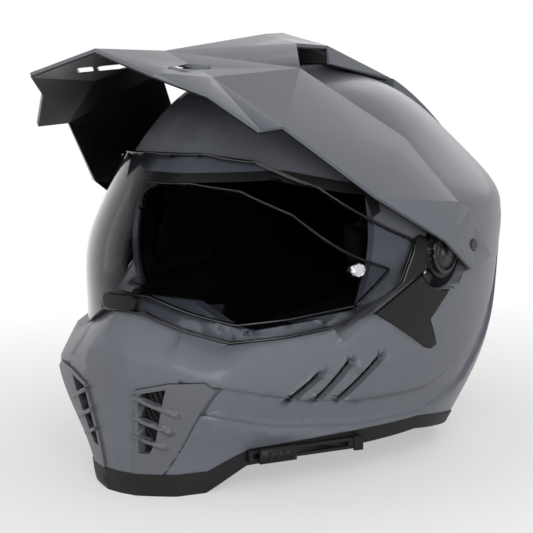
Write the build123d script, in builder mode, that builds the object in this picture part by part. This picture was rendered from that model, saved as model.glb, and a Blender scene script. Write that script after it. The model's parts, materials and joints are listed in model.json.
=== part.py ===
from build123d import *
from functools import cache
from math import atan2, cos, degrees, hypot, radians, sin
import os

# A dual sport helmet, standing on its bottom edge with the face towards -Y.
# X runs to the wearer's left, Z runs up, and the origin lies on the resting
# plane below the middle of the shell. All lengths are in millimetres.

os.makedirs("parts", exist_ok=True)

# Overall form of the shell
half_width = 128
reach = 168
height = 251

# Walls, liners and the gaps between them
shell_wall = 4.5
fit_gap = 0.5
seam = 0.4
running_gap = 1.2
overrun = 12
far = 400

# Outline stations from the bottom edge to the crown, as shares of height, reach and half_width:
# level, front, flat corner, cheek corner, half width and where it lies, rear
station_shares = (
    (0.000, -0.929, 0.094, -0.923, 0.266, -0.851, 0.781, 0.048, 0.595),
    (0.056, -0.940, 0.094, -0.932, 0.281, -0.857, 0.828, 0.060, 0.667),
    (0.167, -0.958, 0.133, -0.940, 0.406, -0.845, 0.914, 0.089, 0.810),
    (0.279, -0.976, 0.172, -0.958, 0.523, -0.827, 0.969, 0.119, 0.911),
    (0.394, -0.982, 0.062, -0.976, 0.469, -0.798, 0.988, 0.143, 0.958),
    (0.498, -0.893, 0.078, -0.887, 0.453, -0.702, 0.996, 0.161, 0.982),
    (0.606, -0.821, 0.156, -0.810, 0.438, -0.619, 1.000, 0.167, 1.000),
    (0.737, -0.726, 0.172, -0.714, 0.414, -0.536, 0.836, 0.161, 0.911),
    (0.817, -0.655, 0.172, -0.637, 0.367, -0.464, 0.688, 0.155, 0.804),
    (0.896, -0.536, 0.156, -0.512, 0.312, -0.357, 0.547, 0.137, 0.661),
    (0.964, -0.357, 0.125, -0.339, 0.234, -0.226, 0.305, 0.119, 0.458),
    (1.000, -0.143, 0.078, -0.131, 0.125, -0.071, 0.156, 0.107, 0.274),
)
# The station that carries the sharp ridge round the back of the shell
ridge_station = 6

# Side view outlines, as shares of reach and height
bottom_edge_shares = (
    (-1.042, 0.000), (-0.762, 0.000), (-0.643, 0.060), (-0.357, 0.074), (0.000, 0.084),
    (0.327, 0.048), (0.512, 0.004), (0.595, 0.000), (1.042, 0.000),
)
trim_top_shares = (
    (-1.042, 0.056), (-0.762, 0.056), (-0.643, 0.104), (-0.357, 0.116), (0.000, 0.120),
    (0.327, 0.080), (0.512, 0.036), (0.595, 0.032), (1.042, 0.032),
)
# The tucked band that runs along the cheek and up behind the pivot
band_top_shares = (
    (-0.893, 0.295), (-0.536, 0.223), (-0.298, 0.199), (0.000, 0.199),
    (0.268, 0.255), (0.506, 0.398), (0.655, 0.598),
)
band_low_shares = (
    (-0.893, 0.223), (-0.595, 0.159), (-0.298, 0.131), (0.000, 0.131),
    (0.298, 0.179), (0.548, 0.327), (0.744, 0.598),
)
band_depth = 2.2

# Eye port
port_front_shares = (
    (0.000, 0.757), (0.484, 0.749), (0.875, 0.677), (0.984, 0.518),
    (0.875, 0.422), (0.516, 0.394), (0.266, 0.466), (0.000, 0.482),
)
port_side_shares = ((-0.238, 0.300), (-0.214, 0.470), (-0.155, 0.685), (-0.119, 0.900))
port_corner = 9
gasket_width = 4
gasket_proud = 0.8
gasket_lip = 1.6
gasket_web = 1.5
trim_web = 2.0
trim_proud = 0.8
trim_lip = 1.5

# Pivot that the visor and the sun shade turn about
pivot_y = 14
pivot_z = 134
pivot_axis = Axis((0, pivot_y, pivot_z), (-1, 0, 0))
ear_radius = 16
hub_radius = 13
boss_radius = 7
boss_gap = 0.4
plate_thick = 2.5

# Visor: station angles about the pivot, and for each the front radius and its handle, then
# the side handle, all as shares of half_width
visor_stations = (
    (-26, 1.310, 0.560, 0.906, 0.500),
    (-14, 1.300, 0.530, 0.906, 0.480),
    (-7, 1.290, 0.495, 0.906, 0.465),
    (0, 1.281, 0.485, 0.906, 0.460),
    (14, 1.230, 0.440, 0.894, 0.425),
    (28, 1.172, 0.406, 0.883, 0.391),
    (40, 1.130, 0.390, 0.877, 0.375),
)
visor_side = 124
visor_hole = 9
ear_shares = (
    (-0.036, 0.582), (-0.036, 0.580), (-0.125, 0.478), (-0.250, 0.414), (-0.024, 0.494), (0.083, 0.534),
    (-0.012, 0.586),
)
lens_thick = 2.2
lens_gap = 1.2
lens_top_shares = (
    (0.000, 0.817), (0.234, 0.813), (0.438, 0.789), (0.641, 0.721), (0.812, 0.630), (0.984, 0.540),
)
lens_low_shares = (
    (0.984, 0.414), (0.812, 0.394), (0.656, 0.378), (0.469, 0.371), (0.297, 0.406),
    (0.133, 0.446), (0.000, 0.450),
)
lens_rear_shares = ((-0.036, 0.900), (-0.036, 0.590), (-0.125, 0.478), (-0.250, 0.414), (-0.298, 0.300))

# Room cut in the shell for the visor's ears, in degrees about the pivot, and the pivot pocket
relief_from = -30
relief_to = 76
relief_reach = 90
pocket_radius = 24

# Chin: points of one upper facet, as shares of half_width, reach and height
chin_facet_shares = ((0.000, -0.988, 0.394), (0.484, -0.863, 0.291), (0.000, -0.887, 0.462))

# Chin vents, front view, as shares of half_width and height
vent_shares = (
    (0.165, 0.271), (0.318, 0.289), (0.474, 0.293), (0.520, 0.275), (0.471, 0.239),
    (0.315, 0.120), (0.200, 0.036), (0.092, 0.036), (0.113, 0.124),
)
vent_mouth_shares = ((0.180, 0.262), (0.312, 0.276), (0.222, 0.141), (0.184, 0.110), (0.132, 0.110))
vent_fin_shares = (
    ((0.158, 0.255), (0.352, 0.211)),
    ((0.142, 0.203), (0.306, 0.167)),
    ((0.130, 0.155), (0.264, 0.127)),
)
vent_proud = 1.6
fin_proud = 3.4
fin_width = 2.2
mesh_thick = 1.0
mesh_margin = 2.5
slot_margin = 5.5

# Cheek slots, side view, as shares of reach and height, with the slot's width
slot_shares = (
    ((-0.560, 0.231), (-0.476, 0.279)),
    ((-0.464, 0.223), (-0.363, 0.299)),
    ((-0.381, 0.215), (-0.244, 0.299)),
)
slot_width = 5.5

# Ribbed side trim below the pivot, side view
trim_panel_shares = (
    (-0.244, 0.410), (-0.036, 0.307), (0.000, 0.299), (0.030, 0.307), (-0.006, 0.375), (0.190, 0.490),
    (0.190, 0.560), (0.083, 0.534),
)
trim_panel_thick = 2.6

# Head space: level, front, half width and where it lies, rear, as shares of height, reach and half_width
head_shares = (
    (0.853, -0.095, 0.180, 0.107, 0.300),
    (0.821, -0.286, 0.360, 0.119, 0.500),
    (0.757, -0.464, 0.531, 0.119, 0.667),
    (0.657, -0.583, 0.656, 0.119, 0.762),
    (0.538, -0.667, 0.719, 0.107, 0.780),
    (0.418, -0.762, 0.750, 0.083, 0.762),
    (0.279, -0.798, 0.750, 0.060, 0.702),
    (0.120, -0.786, 0.719, 0.030, 0.595),
    (-0.048, -0.762, 0.656, 0.000, 0.500),
)
liner_thick = 9
liner_gap = 0.4
strap_room = 4.5
crown_side_shares = (
    (-1.042, 0.780), (-0.250, 0.780), (-0.200, 0.470), (0.208, 0.470), (0.333, 0.180),
    (1.042, 0.180), (1.042, 1.100), (-1.042, 1.100),
)

# Cheek pads, neck roll, chin curtain and breath guard
pad_side_shares = (
    (-0.464, 0.180), (-0.524, 0.300), (-0.476, 0.400), (-0.300, 0.420), (-0.060, 0.440),
    (0.214, 0.440), (0.238, 0.300), (0.179, 0.140), (-0.238, 0.128),
)
pad_corner = 9
pad_thick = 24
roll_thick = 16
roll_side_shares = ((0.220, 0.050), (0.220, 0.120), (0.340, 0.165), (1.042, 0.165), (1.042, 0.050))
curtain_thick = 1.6
curtain_level_share = 0.104
curtain_front_share = -0.330
curtain_inset = 34
guard_thick = 2.0
guard_low_share = 0.330
guard_high_share = 0.452
guard_width_share = 0.360

# Sun shade: profile in the plane through the pivot, as shares of half_width
shade_profile_shares = ((0.000, 0.945), (0.234, 0.945), (0.490, 0.708), (0.736, 0.391))
shade_thick = 2.0
shade_from = 24
shade_to = 54
shade_drop = 33
arm_margin = 4
quarter = 90
shade_arm_radius = 8
shade_pin_radius = 3.0
shade_pin_gap = 0.4
shade_pin_head = 5.0
shade_room = 1.5

# Sun shade slider on the lower left edge, side view
rail_front_shares = (0.483, -0.655)
rail_rear_shares = (0.762, -0.262)
rail_level_share = 0.088
rail_high = 7.0
rail_deep = 8.0
rail_proud = 5.3
rail_stop_long = 6.0
lever_long = 24
lever_high = 9.0
lever_thick = 4.0
lever_tongue = 2.4
lever_foot = 1.2
lever_travel = 26
lever_grips = 4

# Visor lock tab, lens pins and anti-fog lens
tab_wide = 26
tab_high = 9
tab_thick = 2.4
tab_level_share = 0.470
pin_y_share = -0.304
pin_z_share = 0.522
pin_radius = 4.0
pin_shank = 2.2
pin_thick = 1.6
fog_margin = 10
fog_thick = 1.0
fog_gap = 0.5
lens_corner = 5

# Hub over the pivot
hub_thick = 2.2
hub_ring_radius = 9.0
hub_ring_wide = 1.2
hub_ring_deep = 0.5
hub_tick_count = 24
hub_cap_radius = 4.5
base_radius = 22
base_screw_radius = 1.6
base_screw_reach = 19.0
base_screw_count = 3
base_screw_start = 90

# Peak: points of the right half's outer face, as shares of half_width, reach and height
peak_shares = {
    "apex": (0.000, -0.952, 1.076), "tip": (0.406, -0.982, 1.020), "brow": (0.547, -0.833, 0.968),
    "corner": (0.734, -0.738, 0.884), "notch": (0.719, -0.595, 0.884), "side": (0.953, -0.298, 0.701),
    "cheek": (1.039, 0.030, 0.570), "foot": (1.062, 0.170, 0.487), "heel": (1.047, 0.324, 0.506),
    "back": (1.031, 0.206, 0.636), "shoulder": (1.012, 0.143, 0.659), "fold": (0.766, 0.071, 0.820),
    "crest": (0.469, -0.262, 1.006), "ridge": (0.391, -0.679, 1.000),
    "spine": (0.000, -0.601, 1.060), "crown": (0.000, -0.030, 1.086), "mouth": (0.250, -0.075, 1.062),
    "hump": (0.000, 0.077, 1.086), "flank": (0.250, 0.119, 1.050), "end": (0.000, 0.577, 0.960),
    "tail": (0.200, 0.548, 0.954), "skirt": (0.273, 0.107, 1.004), "hem": (0.219, 0.560, 0.950),
}
peak_facets = (
    ("apex", "tip", "ridge"), ("apex", "ridge", "spine"), ("spine", "ridge", "crest"),
    ("spine", "crest", "mouth"), ("spine", "mouth", "crown"), ("ridge", "tip", "brow"),
    ("ridge", "brow", "corner"), ("ridge", "corner", "notch"), ("ridge", "notch", "crest"),
    ("crest", "notch", "fold"), ("fold", "notch", "side"), ("fold", "side", "shoulder"),
    ("shoulder", "side", "cheek"), ("shoulder", "cheek", "back"), ("back", "cheek", "foot"),
    ("back", "foot", "heel"), ("crown", "mouth", "flank"), ("crown", "flank", "hump"),
    ("hump", "flank", "tail"), ("hump", "tail", "end"), ("flank", "skirt", "hem"),
    ("flank", "hem", "tail"),
)
peak_thick = 2.2
lining_thick = 1.0
peak_screw_y_share = 0.199
peak_screw_z_share = 0.546
peak_screw_radius = 3.6
peak_screw_deep = 1.4
peak_shank_radius = 2.0
screw_face_share = 1.042

# Rear spoiler and its crown vent slider
spoiler_shares = ((0.604, 1.100), (0.604, 0.800), (0.760, 0.760), (1.100, 0.800), (1.100, 1.100))
spoiler_proud = 8.0
spoiler_front_half = 26
spoiler_rear_half = 46
crown_vent_y_share = 0.869
crown_vent_z_share = 0.853
crown_vent_lean = 30
crown_vent_wide = 26
crown_vent_long = 15
crown_vent_high = 6.5
crown_vent_travel = 8
crown_vent_sunk = 3.0
crown_vent_grips = 3
crown_vent_foot = 2.0
crown_vent_foot_high = 1.2

# Chin strap and its rings
strap_wide = 22
strap_thick = 1.8
strap_y = 2
strap_top_share = 0.400
strap_bottom_share = 0.105
strap_drop_shares = ((0.690, 0.110), (0.630, 0.050), (0.480, 0.022))
ring_x = 6
ring_z = 5.5
ring_wide = 30
ring_wire = 1.5
ring_apart = 0.25
ring_bore = 2.3
ring_room = 0.3
fold_in = 6
tail_from = 18
tail_to = 16
strap_pin_radius = 3.0
strap_pin_share = 0.360


def lean(index):
    """Angle of the wall's normal above the horizontal at one station, in radians."""
    last = len(station_shares) - 1
    if index == 0:
        return 0.0
    low = station_shares[index - 1]
    high = station_shares[min(index + 1, last)]
    rise = (high[0] - low[0]) * height
    narrowing = (low[6] - high[6]) * half_width
    return max(0.0, atan2(narrowing, rise))


def station_level(index, depth):
    """Height of one station's outline, lowered by the wall's depth where the wall leans in."""
    sunk = 0 if index == ridge_station else depth * sin(lean(index))
    return station_shares[index][0] * height - sunk


def section(index, depth):
    """Left half of one outline of the helmet, set in by depth, as a flat face at its own height."""
    _, front, flat_x, flat_y, cheek_x, cheek_y, wide, wide_y, rear = station_shares[index]
    inset = depth * cos(lean(index))
    front_y = front * reach + inset
    fx, fy = flat_x * half_width, flat_y * reach + inset
    cx, cy = cheek_x * half_width - 0.6 * inset, cheek_y * reach + 0.8 * inset
    wx, wy = wide * half_width - inset, wide_y * reach
    rear_y = rear * reach - inset
    dx, dy = wx - cx, wy - cy
    with BuildSketch(Plane.XY.offset(station_level(index, depth))) as face:
        with BuildLine():
            Line((0, front_y), (fx, fy))
            Bezier(
                (fx, fy), (fx + 0.33 * (cx - fx), fy + 0.28 * (cy - fy)),
                (fx + 0.70 * (cx - fx), fy + 0.62 * (cy - fy)), (cx, cy),
            )
            Bezier((cx, cy), (cx + 0.42 * dx, cy + 0.30 * dy), (wx, wy - 0.36 * dy), (wx, wy))
            Bezier((wx, wy), (wx, wy + 0.58 * (rear_y - wy)), (0.60 * wx, rear_y), (0, rear_y))
            Line((0, rear_y), (0, front_y))
        make_face()
    return face.sketch


@cache
def form(depth):
    """Closed form of the helmet's left half, set in by depth, with its ridge kept sharp."""
    last = len(station_shares) - 1
    with BuildPart() as upper:
        add([section(index, depth) for index in range(last, ridge_station - 1, -1)])
        loft()
    with BuildPart() as whole:
        add([section(index, depth) for index in range(ridge_station, -1, -1)])
        loft()
        add(upper.part)
    return whole.part


def side_points(shares):
    """Side view points from shares of reach and height."""
    return [(y * reach, z * height) for y, z in shares]


def front_points(shares):
    """Front view points from shares of half_width and height."""
    return [(x * half_width, z * height) for x, z in shares]


def mid_fillet(face, radius):
    """Round the corners of a mirrored outline, apart from those on its middle line."""
    corners = [point for point in face.vertices() if abs(point.X) > radius / 2]
    fillet(corners, radius)


def side_prism(points, growth=0.0, corner=0.0, both=True):
    """Prism along X from a side view outline."""
    with BuildPart() as prism:
        with BuildSketch(Plane.YZ) as face:
            with BuildLine():
                Polyline(*points, close=True)
            make_face()
            if growth:
                offset(amount=growth, kind=Kind.INTERSECTION)
            if corner:
                fillet(face.vertices(), corner)
        extrude(amount=far, both=both)
    return prism.part


def front_prism(points, growth=0.0, corner=0.0):
    """Prism towards the front from half a front view outline, mirrored at the middle."""
    with BuildPart() as prism:
        with BuildSketch(Plane.XZ.offset(-overrun)) as face:
            with BuildLine():
                Polyline(*points)
                mirror(about=Plane.YZ)
            make_face()
            if growth:
                offset(amount=growth, kind=Kind.INTERSECTION)
            if corner:
                mid_fillet(face, corner + max(growth, 0))
        extrude(amount=far)
    return prism.part


def half_front_prism(points, growth=0.0):
    """Prism towards the front from a closed front view outline on one side."""
    with BuildPart() as prism:
        with BuildSketch(Plane.XZ):
            with BuildLine():
                Polyline(*points, close=True)
            make_face()
            if growth:
                offset(amount=growth, kind=Kind.INTERSECTION)
        extrude(amount=far)
    return prism.part


def above(shares, rise=0.0):
    """Prism of all that lies above a side view line, raised by rise."""
    line = [(y, z + rise) for y, z in side_points(shares)]
    return side_prism(line + [(line[-1][0], far), (line[0][0], far)])


def skin(proud, depth, tool):
    """The part of a tool between two depths of the helmet's form."""
    with BuildPart() as layer:
        add(tool)
        add(form(-proud), mode=Mode.INTERSECT)
        add(form(depth), mode=Mode.SUBTRACT)
    return layer.part


def about_pivot(radius, angle):
    """Side view point at a radius and an angle about the pivot, from the front upwards."""
    turn = radians(angle)
    return (pivot_y - radius * cos(turn), pivot_z + radius * sin(turn))


def disc(radius, x_from, x_to):
    """Disc about the pivot axis, on the wearer's left."""
    with BuildPart() as plate:
        with BuildSketch(Plane.YZ.offset(x_from)):
            with Locations((pivot_y, pivot_z)):
                Circle(radius)
        extrude(amount=x_to - x_from)
    return plate.part


def peg(place, radius, x_from, x_to):
    """Round peg along X at a side view place, on the wearer's left."""
    with BuildPart() as pin:
        with BuildSketch(Plane.YZ.offset(x_from)):
            with Locations(place):
                Circle(radius)
        extrude(amount=x_to - x_from)
    return pin.part


def visor_plane(angle):
    """Plane through the pivot axis at an angle above the straight line to the front."""
    turn = radians(angle)
    return Plane((0, pivot_y, pivot_z), x_dir=(1, 0, 0), z_dir=(0, -sin(turn), -cos(turn)))


def visor_curve(station, out):
    """Control points of the visor's half outline in one station plane, moved out by a distance."""
    _, front, handle, side, side_handle = station
    return (
        (0, front * half_width + out),
        (handle * half_width + 0.3 * out, front * half_width + out),
        (side * half_width + 0.8 * out, side_handle * half_width + 0.5 * out),
        (visor_side + out, visor_hole),
    )


def crescent(station, outer, inner):
    """Face between two visor outlines in one station plane, on the left half."""
    outside = visor_curve(station, outer)
    inside = visor_curve(station, inner)
    with BuildSketch(visor_plane(station[0])) as face:
        with BuildLine():
            Bezier(*outside)
            Line(outside[-1], inside[-1])
            Bezier(*reversed(inside))
            Line(inside[0], outside[0])
        make_face()
    return face.sketch


@cache
def visor_sheet(outer, inner):
    """Sheet that follows the visor, between two distances from its outer face."""
    with BuildPart() as sheet:
        add([crescent(station, outer, inner) for station in visor_stations])
        loft()
    return sheet.part


def lens_window(growth):
    """All that lies in line with the lens, from the front and from the side."""
    rear = side_points(lens_rear_shares)
    with BuildPart() as window:
        add(front_prism(front_points(lens_top_shares + lens_low_shares), growth, lens_corner))
        add(side_prism(rear + [(-far, rear[-1][1]), (-far, rear[0][1])], growth), mode=Mode.INTERSECT)
    return window.part


def port_window(growth):
    """All that lies in line with the eye port, from the front and from the side."""
    rear = side_points(port_side_shares)
    with BuildPart() as window:
        add(front_prism(front_points(port_front_shares), growth, port_corner))
        add(side_prism(rear + [(-far, rear[-1][1]), (-far, rear[0][1])], growth), mode=Mode.INTERSECT)
    return window.part


ear_floor = visor_side - lens_thick - boss_gap - plate_thick


def ear_sweep(depth):
    """Room that the turning ear and lens sweep beside the pivot, moved in by depth."""
    curve = visor_curve(visor_stations[-1], -(lens_thick + running_gap + depth))
    widen = max(0, degrees(depth / relief_reach) * 2)
    outside = visor_side + overrun
    with BuildPart() as sector:
        with BuildSketch(visor_plane(relief_from - widen)):
            with BuildLine():
                Bezier(*curve)
                Polyline(curve[-1], (outside, visor_hole), (outside, curve[0][1]), curve[0])
            make_face()
            with Locations((0, visor_hole)):
                Rectangle(
                    outside, relief_reach + depth - visor_hole, align=Align.MIN, mode=Mode.INTERSECT
                )
        revolve(axis=pivot_axis, revolution_arc=relief_to - relief_from + 2 * widen)
    return sector.part


def pivot_room(depth):
    """Room in the shell's side for the visor's ear and the pivot, moved in by depth."""
    with BuildPart() as room:
        add(ear_sweep(depth))
        add(disc(pocket_radius + depth, ear_floor - depth, visor_side + overrun))
    return room.part


def chin_wedge(depth):
    """What one upper facet cuts from the chin, moved in by depth."""
    corners = [Vector(x * half_width, y * reach, z * height) for x, y, z in chin_facet_shares]
    normal = (corners[1] - corners[0]).cross(corners[2] - corners[0]).normalized()
    facet = Plane(corners[0] - normal * depth, z_dir=normal)
    low = vent_shares[2][1] * height
    high = port_front_shares[-1][1] * height + overrun
    with BuildPart() as wedge:
        with BuildSketch(Plane.XY.offset(low)):
            Rectangle(half_width, reach, align=(Align.MIN, Align.MAX))
        extrude(amount=high - low)
        split(bisect_by=Plane.XZ.offset(reach / 2), keep=Keep.TOP)
        split(bisect_by=facet, keep=Keep.TOP)
    return wedge.part


@cache
def lens_room(depth):
    """Room in the shell behind the closed lens, moved in by depth."""
    with BuildPart() as room:
        add(visor_sheet(reach / 2, -(lens_thick + lens_gap + depth)))
        add(lens_window(lens_gap + depth), mode=Mode.INTERSECT)
    return room.part


def recessed(block, depth):
    """A block cut down to the helmet's form and its recesses, set in by depth."""
    with BuildPart() as core:
        add(block)
        add(chin_wedge(depth), mode=Mode.SUBTRACT)
        add(lens_room(depth), mode=Mode.SUBTRACT)
        add(pivot_room(depth), mode=Mode.SUBTRACT)
    return core.part


def whole(half):
    """Both halves of a piece, sewn together at the middle, from its left half."""
    outside = [face for face in half.faces() if face.bounding_box().max.X > seam / overrun]
    return Solid(Shell(outside + [face.mirror(Plane.YZ) for face in outside]))


def slot_row(growth):
    """The three slanted cheek slots, as stadiums along X on the left side."""
    with BuildPart() as row:
        with BuildSketch(Plane.YZ):
            for low, high in slot_shares:
                (y1, z1), (y2, z2) = side_points((low, high))
                with Locations(Location(((y1 + y2) / 2, (z1 + z2) / 2), degrees(atan2(z2 - z1, y2 - y1)))):
                    SlotCenterToCenter(hypot(y2 - y1, z2 - z1), slot_width + 2 * growth)
        extrude(amount=far)
    return row.part


def head_section(index, inset):
    """Left half of one outline of the head space, set in by inset."""
    level, front, wide, wide_y, rear = head_shares[index]
    front_y = front * reach + inset
    rear_y = rear * reach - inset
    wx = wide * half_width - inset
    wy = wide_y * reach
    sunk = inset if index == 0 else 0
    with BuildSketch(Plane.XY.offset(level * height - sunk)) as face:
        with BuildLine():
            Bezier((0, front_y), (0.62 * wx, front_y), (wx, wy + 0.52 * (front_y - wy)), (wx, wy))
            Bezier((wx, wy), (wx, wy + 0.55 * (rear_y - wy)), (0.60 * wx, rear_y), (0, rear_y))
            Line((0, rear_y), (0, front_y))
        make_face()
    return face.sketch


@cache
def head_space(inset):
    """Left half of the space inside the impact liner, set in by inset."""
    with BuildPart() as space:
        add([head_section(index, inset) for index in range(len(head_shares))])
        loft()
    return space.part


def lining(outer, inner, tool):
    """The part of a tool between two insets of the head space."""
    with BuildPart() as layer:
        add(tool)
        add(head_space(outer), mode=Mode.INTERSECT)
        add(head_space(inner), mode=Mode.SUBTRACT)
    return layer.part


pin_place = (pivot_y, pivot_z)
strap_pin_place = (strap_y, strap_pin_share * height)
pin_bore = shade_pin_radius + shade_pin_gap
screw_place = (peak_screw_y_share * reach, peak_screw_z_share * height)
vent_outline = front_points(vent_shares)
screw_face = screw_face_share * half_width
inner_wall = shell_wall + fit_gap

# Outer shell: one moulded wall with the eye port, the chin vents and the cheek slots
with BuildPart() as shell_half:
    add(recessed(form(0), 0))
    with BuildPart(mode=Mode.PRIVATE) as groove:
        add(side_prism(side_points(band_top_shares) + side_points(band_low_shares)[::-1], both=False))
        add(form(band_depth), mode=Mode.SUBTRACT)
    add(groove.part, mode=Mode.SUBTRACT)
    add(recessed(form(shell_wall), shell_wall), mode=Mode.SUBTRACT)
    add(port_window(0), mode=Mode.SUBTRACT)
    add(above(bottom_edge_shares, trim_web), mode=Mode.INTERSECT)
    add(half_front_prism(vent_outline, seam), mode=Mode.SUBTRACT)
    add(slot_row(0), mode=Mode.SUBTRACT)
    with BuildPart(mode=Mode.PRIVATE) as panel_seat:
        add(side_prism(side_points(trim_panel_shares), seam, both=False))
        add(form(trim_panel_thick), mode=Mode.SUBTRACT)
    add(panel_seat.part, mode=Mode.SUBTRACT)
    add(peg(pin_place, pin_bore, visor_side - reach / 2, visor_side), mode=Mode.SUBTRACT)
with BuildPart() as outer_shell:
    add(whole(shell_half.part))
outer_shell.part.label = "outer_shell"
export_step(outer_shell.part, "parts/outer_shell.step")

# Rubber channel round the bottom edge
with BuildPart() as wall_foot:
    add(above(bottom_edge_shares, trim_web))
    add(form(0), mode=Mode.INTERSECT)
    add(form(shell_wall), mode=Mode.SUBTRACT)
with BuildPart() as trim_half:
    add(above(bottom_edge_shares))
    add(above(trim_top_shares), mode=Mode.SUBTRACT)
    add(form(-trim_proud), mode=Mode.INTERSECT)
    add(form(shell_wall + trim_lip), mode=Mode.SUBTRACT)
    add(wall_foot.part, mode=Mode.SUBTRACT)
with BuildPart() as bottom_trim:
    add(whole(trim_half.part))
bottom_trim.part.label = "bottom_trim"
export_step(bottom_trim.part, "parts/bottom_trim.step")

# Rubber channel round the eye port, with a lip on the shell's face
with BuildPart() as rim:
    add(port_window(gasket_width))
    add(port_window(-gasket_web), mode=Mode.SUBTRACT)
    add(form(-gasket_proud), mode=Mode.INTERSECT)
    add(form(shell_wall + gasket_lip), mode=Mode.SUBTRACT)
with BuildPart() as gasket_half:
    add(recessed(rim.part, -gasket_proud))
    add(shell_half.part, mode=Mode.SUBTRACT)
with BuildPart() as eyeport_gasket:
    add(whole(gasket_half.part.solids().sort_by(SortBy.VOLUME)[-1]))
eyeport_gasket.part.label = "eyeport_gasket"
export_step(eyeport_gasket.part, "parts/eyeport_gasket.step")

# Impact liner: thick foam between the shell and the head, with room for the sun shade
shade_outline = [(x * half_width, r * half_width) for x, r in shade_profile_shares]


def shade_profile(out):
    """Control points of the sun shade's outer face, moved out by a distance."""
    (x0, r0), (x1, r1), (x2, r2), (x3, r3) = shade_outline
    return ((x0, r0 + out), (x1, r1 + out), (x2 + 0.7 * out, r2 + 0.7 * out), (x3 + out, r3))


arm_outer = shade_outline[-1][0]
arm_inner = arm_outer - shade_thick
arm_reach = shade_outline[-1][1]
arm_end = arm_reach + 2 * shade_thick
arm_low = shade_from - shade_drop


def arm_room(x_from, x_to):
    """Room that the sun shade's arm sweeps between two places across, on the wearer's left."""
    near = shade_arm_radius + shade_room
    with BuildPart() as room:
        with BuildSketch(Plane.YZ.offset(x_from)):
            with Locations(pin_place):
                Circle(near)
            with BuildLine():
                Polyline(
                    about_pivot(near, arm_low - quarter), about_pivot(arm_end + overrun, arm_low - arm_margin),
                    about_pivot(arm_end + overrun, (shade_to + arm_low) / 2),
                    about_pivot(arm_end + overrun, shade_to + arm_margin),
                    about_pivot(near, shade_to + quarter), close=True,
                )
            make_face()
        extrude(amount=x_to - x_from)
    return room.part


with BuildPart() as shade_pocket:
    with BuildSketch(visor_plane(shade_from - shade_drop - shade_room)):
        profile = shade_profile(-shade_thick - shade_room)
        with BuildLine():
            Bezier(*profile)
            Polyline(
                profile[-1], (arm_outer + shade_room, arm_reach), (arm_outer + shade_room, reach),
                (0, reach), profile[0],
            )
        make_face()
    revolve(axis=pivot_axis, revolution_arc=shade_to - shade_from + shade_drop + 2 * shade_room)
    add(arm_room(arm_inner - liner_thick, arm_outer + shade_room))
with BuildPart() as foam_half:
    add(recessed(form(inner_wall), inner_wall))
    add(above(trim_top_shares), mode=Mode.INTERSECT)
    add(head_space(0), mode=Mode.SUBTRACT)
    add(port_window(gasket_lip + gasket_width), mode=Mode.SUBTRACT)
    add(shade_pocket.part, mode=Mode.SUBTRACT)
    add(half_front_prism(vent_outline, mesh_margin + seam), mode=Mode.SUBTRACT)
    with BuildPart(mode=Mode.PRIVATE) as mesh_seat:
        add(slot_row(slot_margin + seam))
        add(form(inner_wall + mesh_thick + seam), mode=Mode.SUBTRACT)
    add(mesh_seat.part, mode=Mode.SUBTRACT)
    add(peg(pin_place, pin_bore, 0, visor_side), mode=Mode.SUBTRACT)
    add(peg(strap_pin_place, strap_pin_radius + boss_gap, 0, visor_side), mode=Mode.SUBTRACT)
with BuildPart() as eps_liner:
    add(whole(foam_half.part.solids().sort_by(SortBy.VOLUME)[-1]))
eps_liner.part.label = "eps_liner"
export_step(eps_liner.part, "parts/eps_liner.step")

# Comfort lining of the crown
with BuildPart() as crown_half:
    add(lining(liner_gap, liner_thick + liner_gap, side_prism(side_points(crown_side_shares), both=False)))
    add(port_window(gasket_width), mode=Mode.SUBTRACT)
    add(arm_room(arm_inner - seam - mesh_thick - boss_gap, visor_side), mode=Mode.SUBTRACT)
with BuildPart() as crown_liner:
    add(whole(crown_half.part.solids().sort_by(SortBy.VOLUME)[-1]))
crown_liner.part.label = "crown_liner"
export_step(crown_liner.part, "parts/crown_liner.step")

# Cheek pads, with a channel behind for the strap
strap_slab = side_prism([
    (strap_y - strap_wide / 2 - seam, 0), (strap_y + strap_wide / 2 + seam, 0),
    (strap_y + strap_wide / 2 + seam, height), (strap_y - strap_wide / 2 - seam, height),
], both=False)
pad_outline = side_points(pad_side_shares)
with BuildPart() as cheek_pad_left:
    with BuildPart(mode=Mode.PRIVATE) as pad_block:
        add(side_prism(pad_outline, corner=pad_corner, both=False))
        add(head_space(liner_gap), mode=Mode.INTERSECT)
        add(head_space(pad_thick), mode=Mode.SUBTRACT)
    add(recessed(pad_block.part, inner_wall))
    with BuildPart(mode=Mode.PRIVATE) as strap_channel:
        add(strap_slab)
        add(head_space(strap_room), mode=Mode.SUBTRACT)
    add(strap_channel.part, mode=Mode.SUBTRACT)
cheek_pad_left.part.label = "cheek_pad_left"
export_step(cheek_pad_left.part, "parts/cheek_pad_left.step")
with BuildPart() as cheek_pad_right:
    mirror(cheek_pad_left.part, about=Plane.YZ)
cheek_pad_right.part.label = "cheek_pad_right"
export_step(cheek_pad_right.part, "parts/cheek_pad_right.step")

# Neck roll round the back of the opening
with BuildPart() as roll_half:
    add(lining(liner_gap, roll_thick, side_prism(side_points(roll_side_shares), both=False)))
with BuildPart() as neck_roll:
    add(whole(roll_half.part))
neck_roll.part.label = "neck_roll"
export_step(neck_roll.part, "parts/neck_roll.step")

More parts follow.
